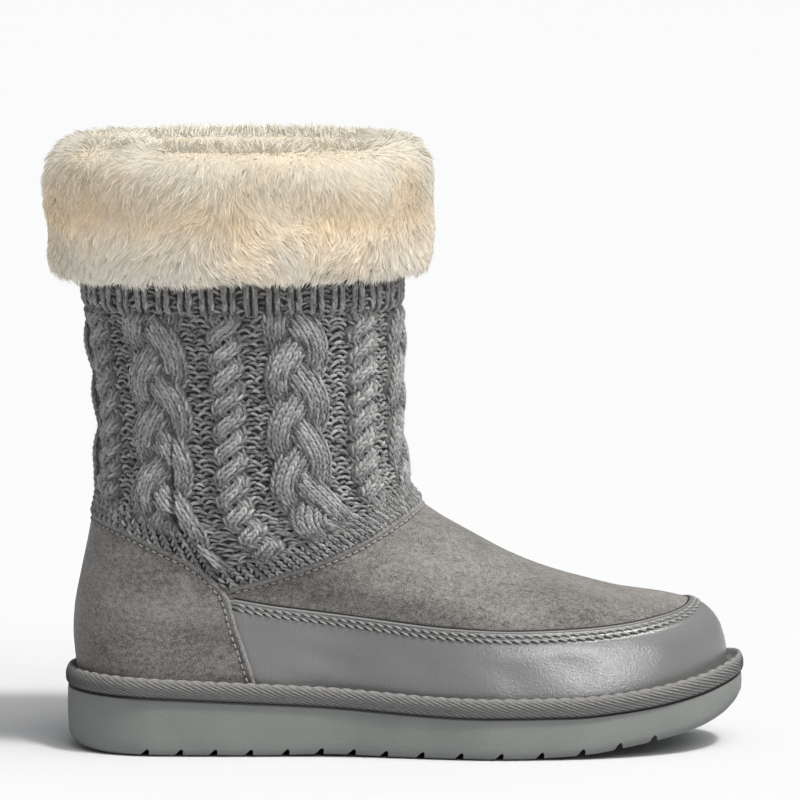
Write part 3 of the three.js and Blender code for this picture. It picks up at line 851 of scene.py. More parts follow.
def make_guard():
    """The leather guard round the toe, with soft creases where the foot bends."""
    count, rows = ((330, 50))
    hidden_end = 66  # the counter covers the guard from here back, so its edge can stay level
    angles = around_front(63, count)
    high = crossing(guard_edge, angles)
    x_top = on_last(high, angles)[:, 0]
    level_edge = crossing(lambda x: guard_edge(np.maximum(x, hidden_end)), angles)
    high = np.where(x_top < hidden_end, level_edge, high)
    low = 0 * high + 0.25
    # creases: where each starts and ends, how deep it is and how wide
    creases = (
        (96, 41, 118, 35, 0.35, 4.0), (131, 44, 150, 33, 0.4, 5.0), (160, 42, 182, 30, 0.35, 5.5),
        (191, 41, 209, 33, 0.3, 4.5), (214, 44, 232, 38, 0.3, 5.0), (84, 32, 104, 28, 0.3, 4.0),
    )

    def height(points):
        x, z = points[..., 0], points[..., 2]
        away = seam_distance(points, guard_edge, 60, 254)
        rise = GAP + OVERLAY + 0.35 * ridge(away, 1.0, 0.9)
        rise = rise - 0.3 * ridge(away, 2.0, 0.45) - 0.3 * ridge(away, 3.9, 0.45)
        rise = rise - 0.7 * ease(0.8, 0, away)
        for ax, az, bx, bz, depth, width in creases:
            length = math.hypot(bx - ax, bz - az)
            u = ((x - ax) * (bx - ax) + (z - az) * (bz - az)) / length
            v = ((x - ax) * (bz - az) - (z - az) * (bx - ax)) / length
            inside = np.exp(-(((u - length / 2) / (0.55 * length)) ** 4))
            rise = rise - depth * inside * ridge(v, 0, width)
        rise = rise + 0.25 * np.sin(x * 0.09 + 1.3 * np.sin(z * 0.1)) * ease(6, 12, away)
        behind = ease(counter_front(z) + 1.2, counter_front(z) - 1.5, x)
        return rise - 0.9 * behind

    panel("leather_guard", low, high, angles, height, LEATHER, rows, "toe_guard")


def counter_front(z):
    """How far forward the counter reaches at a height."""
    return np.interp(z, COUNTER_EDGE["z"][::-1], COUNTER_EDGE["x"][::-1])


def make_counter():
    """The suede heel counter, over the end of the guard."""
    count, rows = ((260, 60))
    angles = place_angle(80.8, 0.3) * np.linspace(-1, 1, count)
    high = crossing(counter_edge, angles)
    low = np.minimum(0.15, high - 0.01)

    def height(points):
        x, z = points[..., 0], points[..., 2]
        away = seam_distance(points, counter_edge, -4, 81)
        rise = 1.75 - 0.9 * ease(0.7, 0, away) - 0.25 * ridge(away, COUNTER_STITCHES, 0.5)
        return rise + 0.3 * np.sin(x * 0.13 + 2) * np.sin(z * 0.12 + 0.4) * ease(5, 14, away)

    panel("suede_counter", low, high, angles, height, SUEDE, rows, "heel_counter")


def stitch_row(name, path, inward, distance, pitch, length, radius, height, lean=0.0):
    """Stitches along a path: short fat threads in a row, each sunk in at its ends."""
    level, angle = shift_path(*path, inward, distance + 0 * path[0])
    level, angle = even_path(level, angle, pitch)
    points, normals, forward, sideways = path_frame(level, angle, inward)
    points, normals = points[1:-1], normals[1:-1]
    forward, sideways = forward[1:-1], sideways[1:-1]
    # along each stitch: its stations, how far they stand out and how thick it is there
    share = np.array([-1, -0.82, -0.45, 0, 0.45, 0.82, 1.0])
    sink = np.array([-1.0, -0.35, 0.1, 0.25, 0.1, -0.35, -1.0])
    fat = np.array([0.35, 0.8, 1.0, 1.05, 1.0, 0.8, 0.35])
    run = forward[:, None] * share[:, None] * length / 2
    run = run + sideways[:, None] * share[:, None] * lean
    centres = points[:, None] + run + normals[:, None] * (height + radius * sink)[:, None]
    ups = np.broadcast_to(normals[:, None], centres.shape)
    radii = np.broadcast_to(radius * fat, centres.shape[:2])
    tubes(name, centres, ups, radii, THREAD, facets=5, arc=1.5 * math.pi)


def groove_line(name, path, inward, distance, width, height):
    """The dark line that a row of stitches is sunk in: a near-black strip of painted shade."""
    half = width / 2
    profile = ((distance - half, height - 0.2), (distance, height), (distance + half, height - 0.2))
    sweep(name, path, inward, profile, GROOVE_SHADE, closed=False)


def make_seams():
    """Bound and folded edges with their stitches. counter_in, guard_in and vamp_in point from each
    edge into its own piece, which is the sideways of the sections."""
    counter = seam_path(counter_edge, 80.6, across=0)
    counter_in = (-0.5, 0, -1)
    bound = ((-0.4, 0.3), (-0.5, 1.1), (-0.1, 1.95), (0.5, 2.2), (1.1, 2.05), (1.5, 1.7), (1.6, 1.2))
    sweep("counter_binding", counter, counter_in, bound, SUEDE_EDGE)
    groove_line("counter_stitch_line", counter, counter_in, COUNTER_STITCHES, 1.2, 1.72)
    stitch_row("counter_stitches", counter, counter_in, COUNTER_STITCHES, *FINE_STITCH, 1.85)

    guard = seam_path(guard_edge, 67, across=math.pi)
    guard_in = (0.8, 0, -0.6)
    fold = ((-0.3, 0.6), (-0.4, 1.3), (-0.1, 1.85), (0.2, 2.0), (0.5, 1.85), (0.75, 1.5), (0.8, 1.1))
    sweep("guard_fold", guard, guard_in, fold, LEATHER_EDGE)
    groove_line("guard_edge_shadow", guard, guard_in, -0.75, 0.7, 1.15)
    for row, distance in enumerate(GUARD_STITCHES):
        groove_line(f"guard_stitch_line_{row + 1}", guard, guard_in, distance, 1.1, 1.66)
        stitch_row(f"guard_stitches_{row + 1}", guard, guard_in, distance, *BOLD_STITCH, 1.75, 0.55)

    vamp = seam_path(topline, 65.5, across=math.pi)
    vamp_in = (0.5, 0, -1)
    edge = ((-0.4, 0.2), (-0.5, 0.9), (-0.1, 1.6), (0.6, 1.85), (1.4, 1.75), (2.0, 1.4), (2.2, 0.8))
    sweep("vamp_fold", vamp, vamp_in, edge, SUEDE_EDGE)
    groove_line("vamp_stitch_line", vamp, vamp_in, VAMP_STITCHES, 1.1, 0.9)
    stitch_row("vamp_stitches", vamp, vamp_in, VAMP_STITCHES, *FINE_STITCH, 1.0)


make_outsole()
make_welt()
make_insole()
make_lined_upper()
make_vamp()
make_guard()
make_counter()
make_seams()

# ---- Knit ----
# A place on the knit is s, in mm round the leg from the middle of the outer side towards the
# front, and t, in mm down from the knit's top edge.
WALE = 0.19  # how far the two wales of a rib are from its middle, as a share of its pitch
RIB = 8.0  # from rib to rib of the ribbing under the cuff, two plain stitches and two purl
RIB_START = 7.0
RIB_END = 26.0
EDGING = 8.5  # plain knit along the seams
STITCH = 2.9
ROW = 2.35
YARN = 0.66
GROUND = 1.0  # height of the plain purl ground above the last
MIDDLE_CABLE = -6.8  # s of the cable in the middle of the list below
CABLE_SPACING = 26.7
CABLE_BASE = 0.9  # height above the ground of the middle of a strand that neither rises nor dips
STRAND_SWING = 1.15  # how far a strand rises over the others and dips under them
STRAND_CROWN = 2.0  # how much higher a strand is along its middle than at its edges
BURIED = -9.0  # a height below everything
DEPTH_STEP = 0.5
DEEPEST = 140  # deeper than any stitch
ROPE = {"strands": 2, "reach": 3.7, "width": 6.2, "pitch": 18.8, "columns": 2}
PLAIT = {"strands": 3, "reach": 6.8, "width": 11.6, "pitch": 66.6, "columns": 4}
# how far down one crossing of each cable lies, from the inner side round the back, the outer side
# and the front
CABLE_PHASE = (40, 44, 36, 50, 38, 47, 51.5, 42.9, 32.1, 50.5, 45, 39, 48)

TURN = np.linspace(-math.pi / 2, 1.5 * math.pi, 721)
KNIT_LEVELS = np.linspace(14.65, 3.2, 300)


def knit_tables():
    """The distance round the leg of each of TURN, the level at each depth below it, and the depth
    of the seam there."""
    ring = on_last(np.full(TURN.shape, 12.2), TURN)
    step = np.linalg.norm(np.diff(ring, axis=0), axis=1)
    walked = np.concatenate([[0], np.cumsum(step)])
    round_leg = walked - np.interp(math.pi / 2, TURN, walked)
    levels, turns = np.meshgrid(KNIT_LEVELS, TURN, indexing="ij")
    points = off_last(levels, turns, 2.5 + 0 * levels)
    down = np.linalg.norm(np.diff(points, axis=0), axis=2)
    down = np.concatenate([np.zeros((1, len(TURN))), np.cumsum(down, axis=0)])
    depths = np.arange(0, 170, DEPTH_STEP)
    table = np.stack([np.interp(depths, down[:, i], KNIT_LEVELS) for i in range(len(TURN))], 1)

    def seam(x):
        return np.where(x < SEAM_X, counter_edge(x), topline(x))

    seam_level = crossing(seam, TURN)
    ends = [np.interp(-seam_level[i], -KNIT_LEVELS, down[:, i]) for i in range(len(TURN))]
    return round_leg, table, np.array(ends)


ROUND_LEG, LEVEL_TABLE, SEAM_DEPTH = knit_tables()
HALF_ROUND = (ROUND_LEG[-1] - ROUND_LEG[0]) / 2
RIBS = round(2 * HALF_ROUND / RIB)
RIB_PITCH = 2 * HALF_ROUND / RIBS
MIDDLE = (ROUND_LEG[-1] + ROUND_LEG[0]) / 2


def once_round(s):
    return (s - ROUND_LEG[0]) % (2 * HALF_ROUND) + ROUND_LEG[0]


def from_rib(s):
    """How far a place is from the middle between two ribs, as a share of the ribs' pitch."""
    return np.abs((s - ROUND_LEG[0]) / RIB_PITCH % 1 - 0.5)


def knit_place(s, t):
    """The level and angle of a place on the knit."""
    turn = np.interp(once_round(s), ROUND_LEG, TURN)
    column = (turn - TURN[0]) / (TURN[1] - TURN[0])
    i = np.clip(column.astype(int), 0, len(TURN) - 2)
    row = np.clip(t / DEPTH_STEP, 0, len(LEVEL_TABLE) - 1.01)
    j = row.astype(int)
    f, g = column - i, row - j
    top = mix(LEVEL_TABLE[j, i], LEVEL_TABLE[j, i + 1], f)
    bottom = mix(LEVEL_TABLE[j + 1, i], LEVEL_TABLE[j + 1, i + 1], f)
    return mix(top, bottom, g), turn


def knit_end(s):
    return np.interp(once_round(s), ROUND_LEG, SEAM_DEPTH)


def from_seam(s, t):
    """How far a place on the knit is from the seam below it, straight across the seam."""
    slope = (knit_end(s + 1) - knit_end(s - 1)) / 2
    return (knit_end(s) - t) / np.sqrt(1 + slope**2)


def strand(cable, k, t, phase):
    """Where strand k of a cable is at a depth: its offset sideways, height and sideways slope."""
    rate = 2 * math.pi / cable["pitch"]
    theta = rate * (t - phase) + math.pi / 2 + 2 * math.pi * k / cable["strands"]
    reach = cable["reach"]
    if cable["strands"] == 2:
        return reach * np.cos(theta), np.sin(theta), -reach * rate * np.sin(theta)
    return reach * np.sin(theta), np.sin(2 * theta), reach * rate * np.cos(theta)


def dome(q, width):
    return STRAND_CROWN * np.sqrt(np.clip(1 - (q / (width / 2)) ** 2, 0, 1))


CABLES = [
    (PLAIT if k % 2 else ROPE, MIDDLE_CABLE + CABLE_SPACING * (k - len(CABLE_PHASE) // 2), phase)
    for k, phase in enumerate(CABLE_PHASE)
]


def strand_height(cable, k, s, t, centre, phase):
    """Height of a strand's surface at a place, or BURIED where it isn't."""
    u, h, slope = strand(cable, k, t, phase)
    away = (s - centre - u) / np.sqrt(1 + slope**2)
    inside = np.abs(away) < cable["width"] / 2
    height = GROUND + CABLE_BASE + STRAND_SWING * h + dome(away, cable["width"])
    return np.where(inside, height, BURIED)


def taper(s, t):
    """How much of the cables' height is left near the ribbing and near the seams."""
    return ease(RIB_END - 2, RIB_END + 4, t) * ease(EDGING * 0.5, EDGING + 5, from_seam(s, t))


def relief(s, t):
    """Height of the knit above the last."""
    beside_wale = np.abs(from_rib(s) - (0.5 - WALE)) * RIB_PITCH
    top = GROUND + (1.2 + 1.1 * ridge(beside_wale, 0, 0.9)) * ease(RIB_END + 0.5, RIB_END - 1, t)
    share = taper(s, t)
    for cable, centre, phase in CABLES:
        near = np.abs(s - centre) < 20
        if not near.any():
            continue
        for k in range(cable["strands"]):
            height = strand_height(cable, k, s[near], t[near], centre, phase)
            height = GROUND + (height - GROUND) * share[near]
            top[near] = np.maximum(top[near], height)
    return top


def knit_points(s, t, height):
    return off_last(*knit_place(s, t), height)


def make_knit_base():
    """The body of the knit under its yarn: a dark sheet of painted shade where it shows between the
    stitches, darker the lower it lies.
    """
    columns, rows = ((360, 80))
    s = MIDDLE + HALF_ROUND * np.linspace(-1, 1, columns, endpoint=False)
    share = np.linspace(0, 1, rows)[:, None]
    t = mix(6.0, (knit_end(s) + 1.2)[None], share)
    s_grid = np.broadcast_to(s, t.shape)
    below_yarn = 0.35
    height = relief(s_grid.ravel(), t.ravel()).reshape(t.shape) - below_yarn
    outer = knit_points(s_grid, t, height)
    inner = knit_points(s_grid, t, 0 * t + 0.1)
    loops = list(outer) + list(inner[:: -max(1, rows // 12)])
    tones = np.zeros((len(loops), columns))
    # painted shade: the body's tone falls with its height, darkest deep between the cables
    tones[:rows] = (height - GROUND + below_yarn) / 4
    points, faces = lathe(loops)
    add_mesh("knit_body", points, faces[:, ::-1], KNIT_BODY, "knit_shaft", tone=tones)


def v_stitches(s, t, lean, height, lit=1.0, breadth=STITCH, length=ROW * 1.75):
    """The middles, normals and tones of both legs of plain stitches, the tones with painted shade
    that darkens the lower legs. lean is the angle of their wale, height a function of the place, and
    lit lower where they dip under other strands."""
    centres, ups, tones = [], [], []
    # at five stations of a leg: how far along, how far aside and how high it is
    along = np.array([-0.5, -0.28, 0.0, 0.28, 0.5])
    spread = np.array([0.40, 0.37, 0.27, 0.16, 0.08])
    arch = np.array([-0.55, 0.0, 0.3, 0.05, -0.6])
    for leg in (-1, 1):
        jitter = random.normal(0, 0.1, len(s))[:, None]
        p = along * length + jitter
        q = leg * spread * breadth + random.normal(0, 0.08, len(s))[:, None]
        cos, sin = np.cos(lean)[:, None], np.sin(lean)[:, None]
        s_leg = s[:, None] + q * cos + p * sin
        t_leg = t[:, None] - q * sin + p * cos
        level = height(s_leg, t_leg) + arch
        centres.append(knit_points(s_leg, t_leg, level))
        ups.append(normal_at(*knit_place(s_leg, t_leg)))
        # painted shade: the lower a leg lies, the darker its tone, and lit darkens it further
        shade = (level[:, 2] - GROUND) / 4.5
        tones.append(np.clip((0.35 + 0.45 * shade) * lit + random.normal(0, 0.13, len(s)), 0, 1))
    return np.concatenate(centres), np.concatenate(ups), np.concatenate(tones)


YARN_PATHS = []  # the middles, normals and tones of all yarn laid so far


def add_yarn(name, centres, ups, tones, radius=YARN):
    """Yarn round those middles, thickest halfway along each stitch."""
    YARN_PATHS.append((centres, ups, tones))
    fat = np.array([0.5, 0.95, 1.08, 0.95, 0.5])
    radii = radius * fat * np.ones(centres.shape[:2])
    tubes(name, centres, ups, radii, YARN_LOOK, facets=3, arc=1.15 * math.pi, tone=tones, edge=0.3)


def strand_yarn(cable, k, centre, phase):
    """The stitches of strand k of a cable. Those that lie under another strand are left out."""
    step = 0.1
    fine = np.arange(RIB_END - 2, DEEPEST, step)
    _, _, slope = strand(cable, k, fine, phase)
    walked = np.concatenate([[0], np.cumsum(np.sqrt(1 + slope[:-1] ** 2) * step)])
    rows = np.interp(np.arange(0, walked[-1], ROW), walked, fine)
    columns = (np.arange(cable["columns"]) + 0.5) / cable["columns"] - 0.5
    t0, q = np.meshgrid(rows, columns * (cable["width"] - 0.6), indexing="ij")
    t0, q = t0.ravel(), q.ravel()
    u, _, slope = strand(cable, k, t0, phase)
    lean = np.arctan(slope)
    s = centre + u + q * np.cos(lean)
    t = t0 - q * np.sin(lean)
    own = strand_height(cable, k, s, t, centre, phase)
    other = np.full(s.shape, BURIED)
    for j in range(cable["strands"]):
        if j != k:
            other = np.maximum(other, strand_height(cable, j, s, t, centre, phase))
    left = (own > other - 0.55) & (own > 0) & (t > RIB_END + 0.3)
    left &= from_seam(s, t) > EDGING * 0.8
    # painted shade: stitches just under the edge of a strand that crosses over them are much darker
    lit = mix(0.1, 1.0, ease(-0.5, 1.7, (own - other)[left]))

    def height(a, b):
        surface = strand_height(cable, k, a, b, centre, phase)
        surface = np.maximum(surface, GROUND + 0.2)
        return GROUND + (surface - GROUND) * taper(a, b)

    return v_stitches(s[left], t[left], lean[left], height, lit)


def make_cables():
    """Yarn of the cables, laid along their strands."""
    plaits, ropes = [], []
    for cable, centre, phase in CABLES:
        for k in range(cable["strands"]):
            made = strand_yarn(cable, k, centre, phase)
            (plaits if cable is PLAIT else ropes).append(made)
    for name, parts in (("knit_plaits", plaits), ("knit_ropes", ropes)):
        add_yarn(name, *[np.concatenate(column) for column in zip(*parts)])


STITCHES_ROUND = round(2 * HALF_ROUND / STITCH)
STITCH_PITCH = 2 * HALF_ROUND / STITCHES_ROUND
STITCH_PLACES = ROUND_LEG[0] + STITCH_PITCH * np.arange(STITCHES_ROUND)


def make_purl():
    """Purl bumps between the cables and between the ribs."""
    rows = np.arange(RIB_START, DEEPEST, ROW * 0.8)
    s, t = np.meshgrid(STITCH_PLACES, rows)
    slant = np.where(np.arange(STITCHES_ROUND) % 2, 0.42, -0.42) + 0 * t
    s = s + (np.arange(len(rows)) % 2)[:, None] * STITCH_PITCH * 0.5
    s = s.ravel() + random.normal(0, 0.3, s.size)
    t = t.ravel() + random.normal(0, 0.28, t.size)
    low = relief(s, t) < GROUND + 1.9 + 2.0 * (t < RIB_END)
    bare = low & (from_seam(s, t) > EDGING * 0.95)
    bare &= (t > RIB_END) | (from_rib(s) < 0.21)
    s, t, slant = s[bare], t[bare], slant.ravel()[bare]
    # at five stations of a bump: how far across, how far down and how high it is
    across = np.array([-0.62, -0.34, 0.0, 0.34, 0.62])
    down = np.array([0.55, -0.12, -0.35, -0.12, 0.55])
    arch = np.array([-0.8, 0.15, 0.5, 0.15, -0.8])
    tilt = (slant + random.normal(0, 0.2, len(s)))[:, None]
    s_bump = s[:, None] + across * STITCH_PITCH * 1.12
    t_bump = t[:, None] + down * 1.15 + across * STITCH_PITCH * tilt
    height = GROUND + 0.3 + arch + 1.5 * (t_bump < RIB_END)
    height = height + random.normal(0, 0.16, len(s))[:, None]
    ups = normal_at(*knit_place(s_bump, t_bump))
    # painted shade: purl in the ribbing, sunk between the ribs, is a little darker
    tones = np.clip(random.normal(0.62, 0.17, len(s)) - 0.1 * (t < RIB_END), 0, 1)
    add_yarn("knit_purl", knit_points(s_bump, t_bump, height), ups, tones, YARN * 0.95)


def rib_yarn():
    """The stitches of the ribbing under the cuff."""
    rows = np.arange(RIB_START, RIB_END + 0.5, ROW)
    wales = RIB_PITCH * np.repeat(np.arange(RIBS), 2) + np.tile((-WALE, WALE), RIBS) * RIB_PITCH
    s, t = np.meshgrid(ROUND_LEG[0] + wales, rows)
    s, t = s.ravel(), t.ravel()

    def height(a, b):
        return GROUND + 2.8 - 1.8 * ease(RIB_END - 1.5, RIB_END + 1, b) + 0 * a

    return v_stitches(s + random.normal(0, 0.12, s.size), t, 0 * s, height, breadth=STITCH * 0.5)


def edging_yarn():
    """The stitches of the plain edging along the seams."""
    s, back = np.meshgrid(STITCH_PLACES, np.arange(9) * ROW + 0.8)
    s, t = s.ravel(), knit_end(s).ravel() - back.ravel()
    near = from_seam(s, t) < EDGING
    s, t = s[near], t[near]
    lean = -0.15 * np.arctan((knit_end(s + 3) - knit_end(s - 3)) / 6)
    s = s + random.normal(0, 0.15, s.size)

    def height(a, b):
        return GROUND + 1.1 + 0 * (a + b)

    return v_stitches(s, t, lean, height, breadth=STITCH * 1.3, length=ROW * 1.3)


def make_fibres():
    """Fibres of the yarn that lie along it, lighter than the yarn itself."""
    centres, ups, tones = [np.concatenate(column) for column in zip(*YARN_PATHS)]
    centres, ups = centres[:, ::2], ups[:, ::2]  # the ends and the middle of each stitch
    kept = random.uniform(0, 1, len(centres)) < 0.97
    centres, ups, tones = centres[kept], ups[kept], tones[kept]
    along = unit(np.gradient(centres, axis=1))
    across = unit(np.cross(along, ups))
    longer = along * np.array([-0.35, 0, 0.35])[:, None]
    count = len(centres)
    copies = 2
    parts = []
    for _ in range(copies):
        aside = random.uniform(-0.8, 0.8, (count, 1)) * YARN
        aside = aside + random.normal(0, 0.16, (count, 3))
        lift = np.sqrt(np.maximum(0, 1.1 - (aside / YARN) ** 2)) * YARN
        lift = lift + random.uniform(-0.05, 0.2, aside.shape)
        parts.append(centres + across * aside[..., None] + ups * lift[..., None] + longer)
    paths = np.concatenate(parts)
    width = random.uniform(0.14, 0.26, len(paths))
    # each fibre takes the tone of its yarn, painted shade and all
    tone = np.tile(tones, copies) * 0.75 + random.normal(0.05, 0.2, len(paths))
    tone = tone[:, None] + np.zeros(3)
    ribbons("knit_fibres", paths, np.tile(ups, (copies, 1, 1)), width, FUZZ, tone)


def make_fuzz():
    """Loose fibres that stand off the yarn."""
    count = 7000
    s = ROUND_LEG[0] + random.uniform(0, 2 * HALF_ROUND, count)
    highest = 9  # under the cuff
    t = highest + random.uniform(0, 1, count) * (knit_end(s) - highest)
    top = relief(s, t)
    heading = random.uniform(0, 2 * math.pi, count)
    length = random.uniform(1.5, 4.5, count)
    share = np.array([0, 0.5, 1.0])
    curl = random.normal(0, 0.9, count)[:, None] * share
    way, run = heading[:, None] + curl, share * length[:, None]
    lift = 0.75 + random.uniform(0.2, 1.2, count)[:, None] * share
    a, b = s[:, None] + np.cos(way) * run, t[:, None] + np.sin(way) * run
    surface = np.maximum(top[:, None], relief(a.ravel(), b.ravel()).reshape(a.shape))
    centres = knit_points(a, b, surface + lift)
    width = random.uniform(0.07, 0.12, count)
    tone = random.uniform(0, 1, count)[:, None] + np.zeros(3)
    ribbons("knit_fuzz", centres, normal_at(*knit_place(a, b)), width, FUZZ, tone)


# ---- Fur ----
# The section of the cuff's skin, from its lower outer edge over the top and down inside.
SKIN = {
    "z": (194.6, 193.2, 193.6, 196.5, 202, 210, 219, 229, 236, 240, 241, 239, 232, 224, 216),
    "out": (5.6, 7.8, 10.4, 12.1, 12.7, 12.5, 12.1, 11.3, 8.9, 3.4, -1.8, -6.4, -7.8, -7.8, -6.2),
}
LOCK = 4.6  # breadth of a lock of fur
SKIN_AROUND = 160
SKIN_ROWS = 36
TOP_OF_FOLD = 0.67  # where the skin turns over at the top, as a share of its section
LOW_EDGE = 12  # mm of the section over which the pile grows to its full length
CASTING = {"every": 5, "reach": 26, "spread": 3}  # strands that throw a shadow: the lower ones


def skin_tables():
    z, out = np.array(SKIN["z"]), np.array(SKIN["out"])
    walked = np.concatenate([[0], np.cumsum(np.hypot(np.diff(z), np.diff(out)))])
    return sampled(walked, z, 600), sampled(walked, out, 600), walked[-1]


SKIN_Z, SKIN_OUT, SKIN_LENGTH = skin_tables()


def skin_points(v, angle):
    """Points of the skin: v is mm along its section. Its lower half is tucked in at the back, and its
    lower edge hangs a little lower there."""
    tuck = 2.0 * ridge(v, 17, 15) * (0.5 + 0.5 * np.cos(angle)) ** 2
    lumps = 0.5 * np.sin(3 * angle + 0.11 * v) * np.sin(0.13 * v + 2 * angle + 1.0)
    ring = leg_ring(SKIN_Z(v), SKIN_OUT(v) - tuck + lumps)
    _, x, y = ring_xy(ring, angle)
    drop = 1.5 * np.cos(angle) * (1 - ease(0, 14, v))
    return np.stack([x, y, SKIN_Z(v) - drop + 0 * x], -1)


def skin_frame(v, angle):
    """Points, normals, the way down the outside and the way round."""
    by_v = skin_points(v + 0.1, angle) - skin_points(v - 0.1, angle)
    by_angle = skin_points(v, angle + 0.005) - skin_points(v, angle - 0.005)
    normal = unit(np.cross(by_angle, by_v))
    return skin_points(v, angle), normal, unit(-by_v), unit(by_angle)


def swirl(angle, v, seed):
    """A smooth field of numbers about -1 to 1 over the cuff."""
    waves = 7
    source = np.random.default_rng(seed)
    total = 0 * angle
    for _ in range(waves):
        round_waves = source.integers(2, 13)
        high_waves = source.uniform(-0.16, 0.16)
        total = total + np.sin(angle * round_waves + v * high_waves + source.uniform(0, 6.3))
    return total / math.sqrt(waves) / 1.4


def make_cuff_skin():
    """The pelt under the fur, its colour toned down as painted shade under the pile."""
    turn = np.arange(SKIN_AROUND) * 2 * math.pi / SKIN_AROUND
    stations = np.linspace(0, SKIN_LENGTH, SKIN_ROWS)
    points, faces = lathe([skin_points(v + 0 * turn, turn) for v in stations])
    add_mesh("cuff_skin", points, faces, SHADED_PELT, "fur_cuff")


def nearest_lock(place, v, around):
    """The middle of the lock that each strand belongs to, and three random numbers of the lock."""
    columns = int(around / LOCK) + 3
    rows = int(SKIN_LENGTH / LOCK) + 3
    shift = random.uniform(0.05, 0.95, (columns, rows, 2))
    numbers = random.uniform(0, 1, (columns, rows, 3))
    column, row = np.floor(place / LOCK), np.floor(v / LOCK)
    best = np.full(len(v), np.inf)
    middle, own = np.zeros((len(v), 2)), np.zeros((len(v), 3))
    for dc in (-1, 0, 1):
        for dr in (-1, 0, 1):
            c = np.clip(column + dc, 0, columns - 1).astype(int)
            r = np.clip(row + dr, 0, rows - 1).astype(int)
            at = np.stack([(c + shift[c, r, 0]) * LOCK, (r + shift[c, r, 1]) * LOCK], 1)
            gap = np.hypot(at[:, 0] - place, at[:, 1] - v)
            nearer = (gap < best)[:, None]
            best = np.minimum(best, gap)
            middle = np.where(nearer, at, middle)
            own = np.where(nearer, numbers[c, r], own)
    return middle, own


def make_fur():
    """Plush strands in soft locks, lying over the folded cuff."""
    count = 96000
    turns = np.linspace(0, 2 * math.pi, 2001)
    ring = skin_points(40.0 + 0 * turns, turns)
    walked = np.concatenate([[0], np.cumsum(np.linalg.norm(np.diff(ring, axis=0), axis=1))])
    place = random.uniform(0, walked[-1], count)
    angle = np.interp(place, walked, turns)
    v = random.uniform(0, 1, count) * SKIN_LENGTH
    middle, own = nearest_lock(place, v, walked[-1])
    points, normal, down, way = skin_frame(v, angle)
    lock_v = np.clip(middle[:, 1], 0, SKIN_LENGTH)
    lock_point, lock_normal, _, _ = skin_frame(lock_v, np.interp(middle[:, 0], walked, turns))
    # strands lean down the outside, inwards over the top, and curl with a slow swirl
    heading = 1.15 * swirl(angle, v, 5) + 0.5 * (own[:, 0] - 0.5) + random.normal(0, 0.2, count)
    over_top = ease(SKIN_LENGTH * 0.6, SKIN_LENGTH * 0.72, v + random.normal(0, 3.5, count))
    upright = ridge(v, SKIN_LENGTH * TOP_OF_FOLD, 6)
    lie = down * np.cos(heading)[:, None] + way * np.sin(heading)[:, None]
    lie = unit(lie * (1 - 1.4 * over_top)[:, None])
    grown = ease(0, LOW_EDGE, v)
    length = random.uniform(6.0, 9.5, count) * (0.55 + 0.45 * grown)
    length = length * (1 - 0.3 * over_top)
    lock_tip = lock_point + lock_normal * 2.9 + lie * 5.2
    bend = 0.5 + 0.25 * swirl(angle, v, 9) + 0.2 * own[:, 1]
    path = [points + normal * 0.4]
    # each third of a strand leans further over and is drawn further to the tip of its lock
    for tilt, drawn in ((0.75, 0.06), (1.12, 0.16), (1.36, 0.3)):
        lean = tilt * (0.75 + 0.35 * bend) * (0.7 + 0.3 * grown) * (1 - 0.4 * upright)
        lean = lean + random.normal(0, 0.09, count)
        forward = normal * np.cos(lean)[:, None] + lie * np.sin(lean)[:, None]
        step = path[-1] + unit(forward) * (length / 3)[:, None]
        path.append(step + (lock_tip - step) * drawn)
    centres = np.stack([mix(path[0], path[1], 0.6), path[2], path[3]], 1)
    facing = unit(normal + random.normal(0, 0.4, (count, 3)))[:, None] + np.zeros((1, 3, 1))
    width = random.uniform(0.28, 0.5, count) * 1.0
    near_top = ease(22, 36, v)
    shade = (own[:, 2] * 0.2 + random.normal(0, 0.07, count)) * (1 - 0.6 * near_top)
    # painted shade, from root to tip, on the side and on the top: darker roots deep in the pile, and
    # a darker top against the strong light from above
    lighter = mix(np.array([0.36, 0.6, 0.78]), np.array([0.12, 0.2, 0.27]), near_top[:, None])
    shade = shade[:, None] + lighter
    soft = unit(normal * 0.8 + lie * 0.2 + random.normal(0, 0.2, (count, 3)))
    order = np.arange(count)
    low = v + random.normal(0, CASTING["spread"], count) < CASTING["reach"]
    casting = (order % CASTING["every"] == 0) & low
    groups = (casting, ~casting & (order % 2 == 0), ~casting & (order % 2 == 1))
    for number, some in enumerate(groups, 1):
        shown = centres[some], facing[some], width[some], FUR, shade[some], soft[some]
        piece = ribbons(f"fur_{number}", *shown)
        piece.visible_shadow = number == 1  # most strands let the light through, as fine pile does


